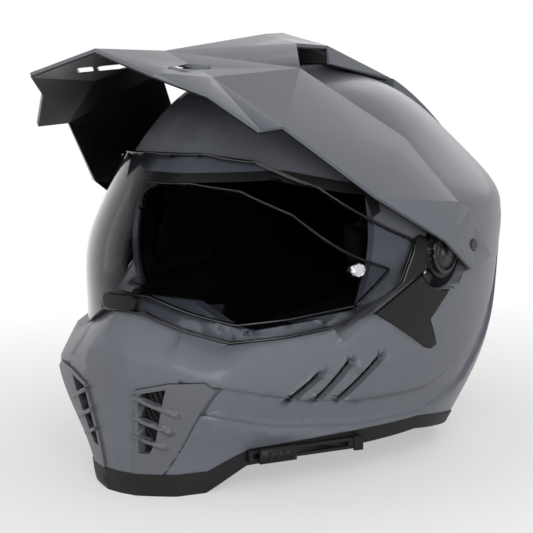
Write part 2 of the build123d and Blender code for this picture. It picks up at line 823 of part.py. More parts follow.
# Chin curtain: a thin cloth across the front of the opening
curtain_level = curtain_level_share * height
curtain_front = curtain_front_share * reach
with BuildPart() as curtain_half:
    add(lining(liner_gap, curtain_inset, side_prism([
        (-reach, curtain_level), (curtain_front, curtain_level),
        (curtain_front, curtain_level + curtain_thick), (-reach, curtain_level + curtain_thick),
    ], both=False)))
with BuildPart() as chin_curtain:
    add(whole(curtain_half.part.solids().sort_by(SortBy.VOLUME)[-1]))
chin_curtain.part.label = "chin_curtain"
export_step(chin_curtain.part, "parts/chin_curtain.step")

# Breath guard inside the chin bar
guard_wide = guard_width_share * half_width
with BuildPart() as guard_half:
    add(lining(liner_gap, liner_gap + guard_thick, half_front_prism([
        (0, guard_low_share * height), (0, guard_high_share * height),
        (guard_wide, guard_high_share * height), (guard_wide, guard_low_share * height),
    ])))
with BuildPart() as breath_guard:
    add(whole(guard_half.part))
breath_guard.part.label = "breath_guard"
export_step(breath_guard.part, "parts/breath_guard.step")

# Chin vent covers, each with three slanted fins across its mouth
with BuildPart() as chin_vent_cover_left:
    add(skin(vent_proud, shell_wall, half_front_prism(vent_outline)))
    add(chin_wedge(0), mode=Mode.SUBTRACT)
    add(above(trim_top_shares, seam), mode=Mode.INTERSECT)
    add(half_front_prism(front_points(vent_mouth_shares)), mode=Mode.SUBTRACT)
    with BuildPart(mode=Mode.PRIVATE) as fins:
        with BuildSketch(Plane.XZ):
            for inner, outer in vent_fin_shares:
                (x1, z1), (x2, z2) = front_points((inner, outer))
                with Locations(Location(((x1 + x2) / 2, (z1 + z2) / 2), degrees(atan2(z2 - z1, x2 - x1)))):
                    SlotCenterToCenter(hypot(x2 - x1, z2 - z1), fin_width)
        extrude(amount=far)
    add(skin(fin_proud, vent_proud, fins.part))
chin_vent_cover_left.part.label = "chin_vent_cover_left"
export_step(chin_vent_cover_left.part, "parts/chin_vent_cover_left.step")
with BuildPart() as chin_vent_cover_right:
    mirror(chin_vent_cover_left.part, about=Plane.YZ)
chin_vent_cover_right.part.label = "chin_vent_cover_right"
export_step(chin_vent_cover_right.part, "parts/chin_vent_cover_right.step")

# Mesh plates clipped behind the chin vents and the cheek slots
with BuildPart() as chin_mesh_left:
    add(skin(-shell_wall, shell_wall + mesh_thick, half_front_prism(vent_outline, mesh_margin)))
    add(chin_wedge(shell_wall), mode=Mode.SUBTRACT)
    add(above(trim_top_shares, seam), mode=Mode.INTERSECT)
chin_mesh_left.part.label = "chin_mesh_left"
export_step(chin_mesh_left.part, "parts/chin_mesh_left.step")
with BuildPart() as chin_mesh_right:
    mirror(chin_mesh_left.part, about=Plane.YZ)
chin_mesh_right.part.label = "chin_mesh_right"
export_step(chin_mesh_right.part, "parts/chin_mesh_right.step")
with BuildPart() as cheek_mesh_left:
    mesh_top = shell_wall + fit_gap / 2
    add(recessed(skin(-mesh_top, mesh_top + mesh_thick, slot_row(slot_margin)), mesh_top))
cheek_mesh_left.part.label = "cheek_mesh_left"
export_step(cheek_mesh_left.part, "parts/cheek_mesh_left.step")
with BuildPart() as cheek_mesh_right:
    mirror(cheek_mesh_left.part, about=Plane.YZ)
cheek_mesh_right.part.label = "cheek_mesh_right"
export_step(cheek_mesh_right.part, "parts/cheek_mesh_right.step")

# Ribbed trims below the pivots
with BuildPart() as side_trim_left:
    add(skin(0, trim_panel_thick, side_prism(side_points(trim_panel_shares), both=False)))
    add(pivot_room(0), mode=Mode.SUBTRACT)
side_trim_left.part.label = "side_trim_left"
export_step(side_trim_left.part, "parts/side_trim_left.step")
with BuildPart() as side_trim_right:
    mirror(side_trim_left.part, about=Plane.YZ)
side_trim_right.part.label = "side_trim_right"
export_step(side_trim_right.part, "parts/side_trim_right.step")

# Pivot base plates with the boss that the visor turns on
with BuildPart() as pivot_base_left:
    add(disc(base_radius, ear_floor, ear_floor + plate_thick))
    add(disc(boss_radius, ear_floor + plate_thick, visor_side + boss_gap))
    with BuildPart(mode=Mode.PRIVATE) as screw_holes:
        with BuildSketch(Plane.YZ.offset(ear_floor)):
            with Locations(pin_place):
                with PolarLocations(base_screw_reach, base_screw_count, base_screw_start):
                    Circle(base_screw_radius)
        extrude(amount=plate_thick)
    add(screw_holes.part, mode=Mode.SUBTRACT)
    add(peg(screw_place, peak_shank_radius + seam, ear_floor, visor_side), mode=Mode.SUBTRACT)
    add(ear_sweep(boss_gap - running_gap), mode=Mode.SUBTRACT)
pivot_base_left.part.label = "pivot_base_left"
export_step(pivot_base_left.part, "parts/pivot_base_left.step")
with BuildPart() as pivot_base_right:
    mirror(pivot_base_left.part, about=Plane.YZ)
pivot_base_right.part.label = "pivot_base_right"
export_step(pivot_base_right.part, "parts/pivot_base_right.step")
with BuildPart() as base_screws:
    add(screw_holes.part)
    add(ear_sweep(boss_gap - running_gap), mode=Mode.SUBTRACT)
    mirror(about=Plane.YZ)
base_screws.part.label = "base_screws"
export_step(base_screws.part, "parts/base_screws.step")

# Hub discs that hold the ears on the bosses, with a ring scale of ticks
hub_face = visor_side + boss_gap + hub_thick
with BuildPart() as pivot_hub_left:
    add(disc(hub_radius, visor_side + boss_gap, hub_face))
    chamfer(pivot_hub_left.faces().sort_by(Axis.X)[-1].edges(), hub_ring_deep)
    with BuildSketch(Plane.YZ.offset(hub_face)):
        with Locations(pin_place):
            Circle(hub_ring_radius + hub_ring_wide)
            Circle(hub_ring_radius, mode=Mode.SUBTRACT)
            with PolarLocations(hub_ring_radius - hub_ring_wide, hub_tick_count):
                Rectangle(hub_ring_wide, hub_ring_deep)
    extrude(amount=-hub_ring_deep, mode=Mode.SUBTRACT)
    add(disc(hub_cap_radius, hub_face, hub_face + hub_ring_deep))
pivot_hub_left.part.label = "pivot_hub_left"
export_step(pivot_hub_left.part, "parts/pivot_hub_left.step")
with BuildPart() as pivot_hub_right:
    mirror(pivot_hub_left.part, about=Plane.YZ)
pivot_hub_right.part.label = "pivot_hub_right"
export_step(pivot_hub_right.part, "parts/pivot_hub_right.step")

# Visor lens: a curved sheet cut to its outline
lens_pin_place = (pin_y_share * reach, pin_z_share * height)
with BuildPart() as lens_half:
    add(visor_sheet(0, -lens_thick))
    add(lens_window(0), mode=Mode.INTERSECT)
    add(peg(lens_pin_place, pin_shank + seam, visor_side - reach / 2, far), mode=Mode.SUBTRACT)
with BuildPart() as visor_lens:
    add(whole(lens_half.part))
visor_lens.part.label = "visor_lens"
export_step(visor_lens.part, "parts/visor_lens.step")

# Anti-fog lens behind it, with its top edge just under the eye port's gasket
port_drop = (lens_top_shares[0][1] - port_front_shares[0][1]) * height
fog_drop = port_drop + gasket_web + boss_gap - fog_margin
with BuildPart() as fog_half:
    add(visor_sheet(-lens_thick - fog_gap, -lens_thick - fog_gap - fog_thick))
    add(lens_window(-fog_margin), mode=Mode.INTERSECT)
    with Locations((0, 0, -fog_drop)):
        add(lens_window(-fog_margin), mode=Mode.INTERSECT)
    add(peg(lens_pin_place, pin_shank + seam, visor_side - reach / 2, far), mode=Mode.SUBTRACT)
with BuildPart() as anti_fog_lens:
    add(whole(fog_half.part))
anti_fog_lens.part.label = "anti_fog_lens"
export_step(anti_fog_lens.part, "parts/anti_fog_lens.step")

# Black ears that join the lens to the pivots
with BuildPart() as visor_ear_left:
    add(visor_sheet(0, -lens_thick))
    add(side_prism(side_points(ear_shares), both=False), mode=Mode.INTERSECT)
    add(disc(ear_radius, visor_side - lens_thick, visor_side))
    add(disc(boss_radius + boss_gap, visor_side - reach / 2, visor_side), mode=Mode.SUBTRACT)
visor_ear_left.part.label = "visor_ear_left"
export_step(visor_ear_left.part, "parts/visor_ear_left.step")
with BuildPart() as visor_ear_right:
    mirror(visor_ear_left.part, about=Plane.YZ)
visor_ear_right.part.label = "visor_ear_right"
export_step(visor_ear_right.part, "parts/visor_ear_right.step")

# Sun shade: a tinted sheet turned about the pivot, with an arm down to each pin
with BuildPart() as shade_half:
    with BuildSketch(visor_plane(shade_from)):
        outside = shade_profile(0)
        inside = shade_profile(-shade_thick)
        with BuildLine():
            Bezier(*outside)
            Line(outside[-1], inside[-1])
            Bezier(*reversed(inside))
            Line(inside[0], outside[0])
        make_face()
    revolve(axis=pivot_axis, revolution_arc=shade_to - shade_from)
    with BuildSketch(Plane.YZ.offset(arm_inner)):
        with Locations(pin_place):
            Circle(shade_arm_radius)
        with BuildLine():
            Polyline(
                about_pivot(shade_arm_radius, shade_from - quarter), about_pivot(arm_end, shade_from),
                about_pivot(arm_end, shade_to), about_pivot(shade_arm_radius, shade_to + quarter),
                close=True,
            )
        make_face()
    extrude(amount=shade_thick)
    add(peg(pin_place, pin_bore, 0, visor_side), mode=Mode.SUBTRACT)
with BuildPart() as sun_shade:
    add(whole(shade_half.part))
sun_shade.part.label = "sun_shade"
export_step(sun_shade.part, "parts/sun_shade.step")
with BuildPart() as shade_pins:
    add(peg(pin_place, shade_pin_radius, arm_inner - seam, ear_floor))
    add(peg(pin_place, shade_pin_head, arm_inner - seam - mesh_thick, arm_inner - seam))
    mirror(about=Plane.YZ)
shade_pins.part.label = "shade_pins"
export_step(shade_pins.part, "parts/shade_pins.step")

# Sun shade slider: a straight rail on the lower left edge, and the lever that runs along it
rail_front = Vector(rail_front_shares[0] * half_width, rail_front_shares[1] * reach)
rail_rear = Vector(rail_rear_shares[0] * half_width, rail_rear_shares[1] * reach)
rail_level = rail_level_share * height
rail_line = rail_rear - rail_front
rail_way = rail_line.normalized()
rail_plane = Plane(
    rail_front + Vector(0, 0, rail_level), x_dir=rail_way, z_dir=rail_way.cross(Vector(0, 0, 1))
)
rail_long = rail_line.length
with BuildPart() as slider_rail:
    with BuildSketch(rail_plane.offset(-rail_deep)):
        Rectangle(rail_long, rail_high, align=(Align.MIN, Align.CENTER))
    extrude(amount=rail_deep + rail_proud)
    with BuildSketch(rail_plane.offset(rail_proud)):
        with Locations((rail_long, 0)):
            Rectangle(rail_stop_long, lever_high, align=(Align.MAX, Align.CENTER))
    extrude(amount=lever_thick / 2)
    for widen, tall in ((boss_gap, lever_tongue), (boss_gap + lever_foot, lever_foot / 2 + 2 * boss_gap)):
        with BuildSketch(rail_plane.offset(rail_proud - lever_tongue)):
            with Locations((rail_stop_long / 2, 0)):
                Rectangle(
                    rail_long - 2 * rail_stop_long, lever_tongue + 2 * widen,
                    align=(Align.MIN, Align.CENTER),
                )
        extrude(amount=tall, mode=Mode.SUBTRACT)
    add(form(-trim_proud), mode=Mode.SUBTRACT)
slider_rail.part.label = "slider_rail"
export_step(slider_rail.part, "parts/slider_rail.step")
with BuildPart() as shade_slider:
    with BuildSketch(rail_plane.offset(rail_proud + boss_gap)):
        with Locations((rail_stop_long, 0)):
            Rectangle(lever_long, lever_high, align=(Align.MIN, Align.CENTER))
    extrude(amount=lever_thick)
    chamfer(shade_slider.faces().sort_by(Axis(rail_plane.origin, rail_plane.z_dir))[-1].edges(), lever_thick / 3)
    with BuildSketch(rail_plane.offset(rail_proud + boss_gap + lever_thick)):
        with Locations((rail_stop_long + lever_long / 2, 0)):
            with GridLocations(lever_long / (lever_grips + 1), 1, lever_grips, 1):
                Rectangle(boss_gap * 3, lever_high / 2)
    extrude(amount=boss_gap * 2)
    for widen, tall in ((0, lever_tongue), (lever_foot, lever_foot / 2)):
        with BuildSketch(rail_plane.offset(rail_proud + boss_gap - lever_tongue)):
            with Locations((rail_stop_long + boss_gap, 0)):
                Rectangle(
                    lever_long - 2 * boss_gap, lever_tongue + 2 * widen,
                    align=(Align.MIN, Align.CENTER),
                )
        extrude(amount=tall)
shade_slider.part.label = "shade_slider"
export_step(shade_slider.part, "parts/shade_slider.step")

# Lock tab on the lens's lower edge
tab_level = tab_level_share * height
with BuildPart() as visor_tab:
    with BuildSketch(Plane.XZ.offset(overrun)):
        with Locations((0, tab_level)):
            RectangleRounded(tab_wide, tab_high, tab_high / 3)
    extrude(amount=far)
    add(whole(visor_sheet(tab_thick, 0)), mode=Mode.INTERSECT)
visor_tab.part.label = "visor_tab"
export_step(visor_tab.part, "parts/visor_tab.step")

# Pins through the lens that hold the anti-fog lens
with BuildPart() as lens_pins:
    add(visor_sheet(pin_thick, 0))
    add(peg(lens_pin_place, pin_radius, visor_side - reach / 2, far), mode=Mode.INTERSECT)
    with BuildPart(mode=Mode.PRIVATE) as shanks:
        add(visor_sheet(0, -lens_thick - fog_gap - fog_thick))
        add(peg(lens_pin_place, pin_shank, visor_side - reach / 2, far), mode=Mode.INTERSECT)
    add(shanks.part)
    mirror(about=Plane.YZ)
lens_pins.part.label = "lens_pins"
export_step(lens_pins.part, "parts/lens_pins.step")

# Peak: a faceted visor plate over the brow with a long side panel down to each pivot
peak_points = {
    name: Vector(x * half_width, y * reach, z * height) for name, (x, y, z) in peak_shares.items()
}


def peak_corner(name, side):
    """One corner of the peak's outer face, on the left with side 1 and on the right with side -1."""
    place = peak_points[name]
    return Vector(place.X * side, place.Y, place.Z)


def peak_triangles():
    """Triangles of the whole outer face, as corners of a name and a side, facing out."""
    triangles = []
    for side in (1, -1):
        for facet in peak_facets:
            corners = [(name, side if peak_points[name].X else 0) for name in facet]
            triangles.append(corners[::side])
    return triangles


def facet_normal(corners):
    """Unit normal of one triangle."""
    a, b, c = (peak_corner(*corner) for corner in corners)
    return (b - a).cross(c - a).normalized()


def peak_layer(top, under):
    """Solid layer of the peak between two depths below its outer face."""
    triangles = peak_triangles()
    lean_of = {}
    for corners in triangles:
        for corner in corners:
            lean_of[corner] = lean_of.get(corner, Vector()) + facet_normal(corners)

    def sunk(corner, depth):
        return peak_corner(*corner) - lean_of[corner].normalized() * depth

    edges = {(t[i], t[(i + 1) % 3]) for t in triangles for i in range(3)}
    faces = []
    for a, b, c in triangles:
        faces.append([sunk(corner, top) for corner in (a, b, c)])
        faces.append([sunk(corner, under) for corner in (c, b, a)])
    for a, b in edges:
        if (b, a) not in edges:
            faces.append([sunk(a, top), sunk(a, under), sunk(b, under)])
            faces.append([sunk(a, top), sunk(b, under), sunk(b, top)])
    return Solid(Shell([Face(Wire.make_polygon(corners)) for corners in faces]))


screw_bore = peg(screw_place, peak_shank_radius + seam, 0, far)
screw_seat = peg(screw_place, peak_screw_radius + seam, screw_face, far)
screw_bores = [screw_bore, screw_bore.mirror(Plane.YZ), screw_seat, screw_seat.mirror(Plane.YZ)]
with BuildPart() as peak:
    add(peak_layer(0, peak_thick))
    add(screw_bores, mode=Mode.SUBTRACT)
peak.part.label = "peak"
export_step(peak.part, "parts/peak.step")
with BuildPart() as peak_lining:
    add(peak_layer(peak_thick, peak_thick + lining_thick))
    add(screw_bores, mode=Mode.SUBTRACT)
peak_lining.part.label = "peak_lining"
export_step(peak_lining.part, "parts/peak_lining.step")
with BuildPart() as peak_screws:
    add(peg(screw_place, peak_shank_radius, ear_floor, screw_face))
    add(peg(screw_place, peak_screw_radius, screw_face, screw_face + peak_screw_deep))
    mirror(about=Plane.YZ)
peak_screws.part.label = "peak_screws"
export_step(peak_screws.part, "parts/peak_screws.step")

# Rear spoiler: a raised strip down the back, with the crown vent's slider in its land
vent_turn = radians(crown_vent_lean)
vent_plane = Plane(
    (0, crown_vent_y_share * reach, crown_vent_z_share * height),
    x_dir=(1, 0, 0), z_dir=(0, sin(vent_turn), cos(vent_turn)),
)
front_edge = spoiler_shares[0][0] * reach
with BuildPart() as strip:
    with BuildSketch(Plane.XY):
        with BuildLine():
            Polyline(
                (0, front_edge), (spoiler_front_half, front_edge), (spoiler_rear_half, reach),
                (spoiler_rear_half, reach + overrun), (0, reach + overrun), close=True,
            )
        make_face()
    extrude(amount=far)
    add(side_prism(side_points(spoiler_shares), both=False), mode=Mode.INTERSECT)
with BuildPart() as spoiler_half:
    add(skin(spoiler_proud, 0, strip.part))
    for widen, tall in ((seam, far), (seam + crown_vent_foot, crown_vent_foot_high + 2 * seam)):
        with BuildSketch(vent_plane.offset(-crown_vent_sunk)):
            Rectangle(crown_vent_wide + 2 * widen, crown_vent_long + crown_vent_travel + 2 * seam)
        extrude(amount=tall, mode=Mode.SUBTRACT)
with BuildPart() as rear_spoiler:
    add(whole(spoiler_half.part))
rear_spoiler.part.label = "rear_spoiler"
export_step(rear_spoiler.part, "parts/rear_spoiler.step")
with BuildPart() as crown_vent_slider:
    with BuildSketch(vent_plane.offset(seam - crown_vent_sunk)):
        with Locations((0, -crown_vent_travel / 2)):
            RectangleRounded(crown_vent_wide, crown_vent_long, seam * 4)
    extrude(amount=crown_vent_high)
    chamfer(
        crown_vent_slider.faces().sort_by(Axis(vent_plane.origin, vent_plane.z_dir))[-1].edges(), seam * 3
    )
    with BuildSketch(vent_plane.offset(seam - crown_vent_sunk + crown_vent_high)):
        with Locations((0, -crown_vent_travel / 2)):
            with GridLocations(1, crown_vent_long / (crown_vent_grips + 1), 1, crown_vent_grips):
                Rectangle(crown_vent_wide / 2, seam * 3)
    extrude(amount=seam * 2)
    with BuildSketch(vent_plane.offset(seam - crown_vent_sunk)):
        with Locations((0, -crown_vent_travel / 2)):
            Rectangle(crown_vent_wide + 2 * crown_vent_foot, crown_vent_long)
    extrude(amount=crown_vent_foot_high)
crown_vent_slider.part.label = "crown_vent_slider"
export_step(crown_vent_slider.part, "parts/crown_vent_slider.step")

# Chin strap: a band down each side, its rivet, and two D rings in a loop on the left end
strap_bottom = strap_bottom_share * height
strap_drop = front_points(strap_drop_shares)
ring_far = ring_wire + ring_apart
fold_rise = ring_far + ring_room + strap_thick / 2
fold_x = fold_in - ring_x


def strap_band(ending):
    """Strap of one side: flat on the foam, then down and in towards the middle."""
    with BuildPart() as band:
        add(side_prism([
            (strap_y - strap_wide / 2, strap_bottom), (strap_y + strap_wide / 2, strap_bottom),
            (strap_y + strap_wide / 2, strap_top_share * height),
            (strap_y - strap_wide / 2, strap_top_share * height),
        ], both=False))
        add(head_space(liner_gap), mode=Mode.INTERSECT)
        add(head_space(liner_gap + strap_thick), mode=Mode.SUBTRACT)
        foot = band.faces().sort_by(Axis.Z)[0].center()
        with BuildSketch(Plane.XZ.offset(-strap_y - strap_wide / 2)):
            with BuildLine() as path:
                Polyline((foot.X, foot.Z + strap_thick), *strap_drop, *ending)
            trace(path.line, strap_thick)
        extrude(amount=strap_wide)
        add(peg(strap_pin_place, strap_pin_radius + seam / 2, 0, far), mode=Mode.SUBTRACT)
    return band.part


with BuildPart() as chin_strap_left:
    add(strap_band([(ring_x + ring_bore + strap_thick / 2, ring_z)]))
    with BuildSketch(Plane.XZ.offset(-strap_y - strap_wide / 2)):
        with Locations((ring_x, ring_z)):
            Circle(ring_bore + strap_thick)
            Circle(ring_bore, mode=Mode.SUBTRACT)
    extrude(amount=strap_wide)
chin_strap_left.part.label = "chin_strap_left"
export_step(chin_strap_left.part, "parts/chin_strap_left.step")
with BuildPart() as right_band:
    add(strap_band([
        (tail_from, ring_z - fold_rise), (fold_x, ring_z - fold_rise),
        (fold_x, ring_z + fold_rise), (tail_to, ring_z + fold_rise),
    ]))
with BuildPart() as chin_strap_right:
    mirror(right_band.part, about=Plane.YZ)
chin_strap_right.part.label = "chin_strap_right"
export_step(chin_strap_right.part, "parts/chin_strap_right.step")
with BuildPart() as strap_rivets:
    add(peg(strap_pin_place, strap_pin_radius, half_width / 2, visor_side))
    add(form(inner_wall), mode=Mode.INTERSECT)
    add(head_space(strap_room - seam), mode=Mode.SUBTRACT)
    mirror(about=Plane.YZ)
strap_rivets.part.label = "strap_rivets"
export_step(strap_rivets.part, "parts/strap_rivets.step")
with BuildPart() as d_rings:
    for level in (ring_z - ring_far, ring_z + ring_apart):
        with BuildSketch(Plane.XY.offset(level)):
            with Locations((ring_x, strap_y)):
                Circle(ring_wide / 2)
                Circle(ring_wide / 2 - ring_wire, mode=Mode.SUBTRACT)
                Rectangle(ring_wide, ring_wide, align=(Align.MIN, Align.CENTER), mode=Mode.SUBTRACT)
                Rectangle(ring_wire, ring_wide - ring_wire)
        extrude(amount=ring_wire)
d_rings.part.label = "d_rings"
export_step(d_rings.part, "parts/d_rings.step")
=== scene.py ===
"""Looks of the dual sport helmet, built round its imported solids.

Every piece is in metres and in the frame of the solids: +Z up, -Y to the helmet's front and +X to
the wearer's left.
"""
import json
import logging
import math
from dataclasses import dataclass
from enum import Enum
from typing import Callable, Optional, Sequence

import bpy
from mathutils import Matrix, Vector

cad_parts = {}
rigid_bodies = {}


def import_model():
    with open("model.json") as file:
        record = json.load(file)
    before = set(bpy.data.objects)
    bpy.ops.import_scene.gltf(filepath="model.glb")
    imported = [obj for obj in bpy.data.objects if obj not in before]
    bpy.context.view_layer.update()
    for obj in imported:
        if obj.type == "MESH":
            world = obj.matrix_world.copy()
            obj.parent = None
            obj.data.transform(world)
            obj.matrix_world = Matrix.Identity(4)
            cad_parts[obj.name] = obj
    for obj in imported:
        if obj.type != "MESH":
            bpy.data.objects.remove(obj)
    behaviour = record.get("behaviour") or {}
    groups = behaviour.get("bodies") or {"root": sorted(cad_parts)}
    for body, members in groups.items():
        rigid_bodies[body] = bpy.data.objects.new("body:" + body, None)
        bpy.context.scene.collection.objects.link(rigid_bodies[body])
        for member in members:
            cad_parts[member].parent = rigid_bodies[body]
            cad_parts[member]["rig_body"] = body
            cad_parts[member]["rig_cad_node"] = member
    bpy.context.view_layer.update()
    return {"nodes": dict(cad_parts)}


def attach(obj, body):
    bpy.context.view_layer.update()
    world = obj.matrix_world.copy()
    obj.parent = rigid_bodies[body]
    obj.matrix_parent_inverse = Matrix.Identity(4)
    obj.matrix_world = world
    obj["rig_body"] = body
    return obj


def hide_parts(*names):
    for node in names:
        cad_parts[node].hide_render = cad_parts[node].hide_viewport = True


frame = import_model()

LOG = logging.getLogger("helmet")
Colour = tuple[float, float, float]
Place = tuple[float, float, float]
MM = 0.001
WHITE = (1.0, 1.0, 1.0, 1.0)
WELD = 0.01 * MM


class Body(Enum):
    """The rigid bodies of the solids."""

    HELMET = "helmet"
    VISOR = "visor"
    SHADE = "sun_shade"
    LEVER = "shade_slider"
    CROWN_VENT = "crown_vent_slider"


class Slot(Enum):
    """The material slots of the record."""

    SHELL = "shell_paint"
    GREY = "grey_plastic"
    BLACK = "black_plastic"
    RUBBER = "black_rubber"
    FOAM = "foam"
    FABRIC = "black_fabric"
    STRAP = "strap_fabric"
    STEEL = "steel"
    CLEAR = "clear_lens"
    SMOKE = "smoke_lens"


class Wire:
    """A shader socket that takes part in sums as a number does."""

    def __init__(self, book: "NodeBook", socket: bpy.types.NodeSocket) -> None:
        """Keep the socket and the book of its material."""
        self.book = book
        self.socket = socket

    def _math(self, operation: str, *values: object) -> "Wire":
        """Add one Math node and give its result."""
        return self.book.node("ShaderNodeMath", {"operation": operation}, *values)

    def __add__(self, other: object) -> "Wire":
        """Sum of the two."""
        return self._math("ADD", self, other)

    __radd__ = __add__

    def __sub__(self, other: object) -> "Wire":
        """This less the other."""
        return self._math("SUBTRACT", self, other)

    def __rsub__(self, other: object) -> "Wire":
        """The other less this."""
        return self._math("SUBTRACT", other, self)

    def __mul__(self, other: object) -> "Wire":
        """Product of the two."""
        return self._math("MULTIPLY", self, other)

    __rmul__ = __mul__

    def __pow__(self, other: object) -> "Wire":
        """This to a power."""
        return self._math("POWER", self, other)

    def over(self, limit: float, soft: float) -> "Wire":
        """Mask that is 1 where this is above a limit.

        Args:
            limit: The value at which the mask is a half.
            soft: The width of the step.

        Returns:
            The mask, from 0 to 1.
        """
        return self.book.node(
            "ShaderNodeMapRange", {"clamp": True}, self, limit - soft / 2, limit + soft / 2, 0.0, 1.0
        )

    def absolute(self) -> "Wire":
        """This without its sign."""
        return self._math("ABSOLUTE", self)

    def sine(self) -> "Wire":
        """Sine of this, in radians."""
        return self._math("SINE", self)


class NodeBook:
    """The node tree of one material or world, filled by one method."""

    def __init__(self, owner: bpy.types.ID) -> None:
        """Empty the tree.

        Args:
            owner: The new material or world.
        """
        self.owner = owner
        owner.use_nodes = True
        self.tree = owner.node_tree
        self.tree.nodes.clear()

    def node(self, kind: str, settings: Optional[dict] = None, *values: object, out: int = 0,
             **named: object) -> Wire:
        """Add a node, set it up and connect it.

        Args:
            kind: The node's type name.
            settings: Its own settings, set first.
            values: Values or wires for its sockets in order, with None to leave one as it is.
            out: Which output to give.
            named: Values or wires for sockets by name, with _ for a space.

        Returns:
            The chosen output.
        """
        made = self.tree.nodes.new(kind)
        for key, value in (settings or {}).items():
            setattr(made, key, value)
        pairs = [(made.inputs[index], value) for index, value in enumerate(values) if value is not None]
        pairs += [(made.inputs[name.replace("_", " ")], value) for name, value in named.items()]
        for socket, value in pairs:
            if isinstance(value, Wire):
                self.tree.links.new(value.socket, socket)
            else:
                socket.default_value = value
        return Wire(self, made.outputs[out] if made.outputs else None)

    def place(self) -> Wire:
        """The Object coordinates, in metres."""
        return self.node("ShaderNodeTexCoord", out=3)

    def axes(self) -> tuple[Wire, Wire, Wire]:
        """The Object coordinates one by one.

        Returns:
            The way across, along and up.
        """
        split = self.node("ShaderNodeSeparateXYZ", None, self.place())
        outputs = split.socket.node.outputs
        return tuple(Wire(self, outputs[index]) for index in range(3))

    def noise(self, size: float, detail: float = 2.0) -> Wire:
        """Soft noise over the surface.

        Args:
            size: The size of one spot in metres.
            detail: How much finer noise is added.

        Returns:
            The noise, about 0 to 1.
        """
        return self.node("ShaderNodeTexNoise", None, Vector=self.place(), Scale=1.0 / size, Detail=detail)

    def cells(self, size: float) -> Wire:
        """Distance to the nearest cell centre.

        Args:
            size: The size of one cell in metres.

        Returns:
            The distance in cells.
        """
        return self.node("ShaderNodeTexVoronoi", None, Vector=self.place(), Scale=1.0 / size)

    def mix(self, amount: object, low: Sequence[float], high: Sequence[float]) -> Wire:
        """Colour between two colours.

        Args:
            amount: How much of the second, 0 to 1.
            low: The first colour.
            high: The second colour.

        Returns:
            The mixed colour.
        """
        mixed = self.node("ShaderNodeMix", {"data_type": "RGBA"}, out=2)
        inputs = mixed.socket.node.inputs
        for socket, value in ((inputs[0], amount), (inputs[6], (*low, 1.0)), (inputs[7], (*high, 1.0))):
            if isinstance(value, Wire):
                self.tree.links.new(value.socket, socket)
            else:
                socket.default_value = value
        return mixed

    def bump(self, height: Wire, depth: float) -> Wire:
        """Normal of a rough surface.

        Args:
            height: The height, 0 to 1.
            depth: What 1 is in metres.

        Returns:
            The bumped normal.
        """
        return self.node("ShaderNodeBump", None, Strength=1.0, Distance=depth, Height=height)

    def straight(self) -> Wire:
        """Mask of what the camera sees itself, in gloss or through a lens.

        Returns:
            The mask, 0 or 1.
        """
        path = self.node("ShaderNodeLightPath").socket.node.outputs
        seen = Wire(self, path["Is Camera Ray"]) + Wire(self, path["Is Glossy Ray"])
        return seen + Wire(self, path["Is Transmission Ray"])

    def finish(self, shader: Wire, output: str = "ShaderNodeOutputMaterial") -> bpy.types.ID:
        """Send a shader to the output.

        Args:
            shader: The last shader.
            output: The output node's type.

        Returns:
            The material or world.
        """
        self.node(output, None, shader)
        return self.owner


@dataclass(frozen=True)
class Finish:
    """A plain moulded or painted finish with a fine grain.

    Attributes:
        name: The material's name.
        slot: The record's material slot; not used.
        colour: Base colour, linear.
        shade: The same colour where it is darker or duller.
        roughness: Middle roughness.
        uneven: How far the roughness goes up and down.
        grain: Size of the grain in metres.
        depth: Depth of the grain in metres.
        metallic: Share of metal.
        coat: Weight of the clear coat.
        coat_rough: Roughness of the clear coat.
        shine: Specular level, 0.5 on common plastic.
        patch: Size of its duller patches in metres.
    """

    name: str
    slot: Slot
    colour: Colour
    shade: Colour
    roughness: float = 0.5
    uneven: float = 0.06
    grain: float = 0.6 * MM
    depth: float = 0.02 * MM
    metallic: float = 0.0
    coat: float = 0.0
    coat_rough: float = 0.08
    shine: float = 0.5
    patch: float = 25 * MM

    def pattern(self, book: NodeBook) -> tuple[Wire, Wire]:
        """What gives the surface its relief and its colour.

        Args:
            book: The material's nodes.

        Returns:
            The height and the colour's mask, both 0 to 1.
        """
        return book.noise(self.grain), book.noise(self.patch, detail=3.0)

    def make(self) -> bpy.types.Material:
        """Give the material, built at the first call.

        Returns:
            The material.
        """
        found = bpy.data.materials.get(self.name)
        return found or self.build(NodeBook(bpy.data.materials.new(self.name)))

    def build(self, book: NodeBook) -> bpy.types.Material:
        """Fill the material's nodes.

        Args:
            book: The new material's nodes.

        Returns:
            The material.
        """
        height, mask = self.pattern(book)
        rough = (mask - 0.5) * (2 * self.uneven) + self.roughness
        shader = book.node(
            "ShaderNodeBsdfPrincipled", None,
            Base_Color=book.mix(mask, self.shade, self.colour), Roughness=rough, Metallic=self.metallic,
            Coat_Weight=self.coat, Coat_Roughness=self.coat_rough, Specular_IOR_Level=self.shine,
            Normal=book.bump(height, self.depth),
        )
        return book.finish(shader)


@dataclass(frozen=True)
class RibbedFinish(Finish):
    """Plastic with fine level ribs, one above the other.

    Attributes:
        pitch: From one rib to the next in metres.
    """

    pitch: float = 1.4 * MM

    def pattern(self, book: NodeBook) -> tuple[Wire, Wire]:
        """Ribs along the surface, with painted shade in their grooves.

        Args:
            book: The material's nodes.

        Returns:
            The ribs, as height and as the mask of the painted groove shade.
        """
        _, _, high = book.axes()
        ribs = (high * (2 * math.pi / self.pitch)).sine() * 0.5 + 0.5
        return ribs, ribs


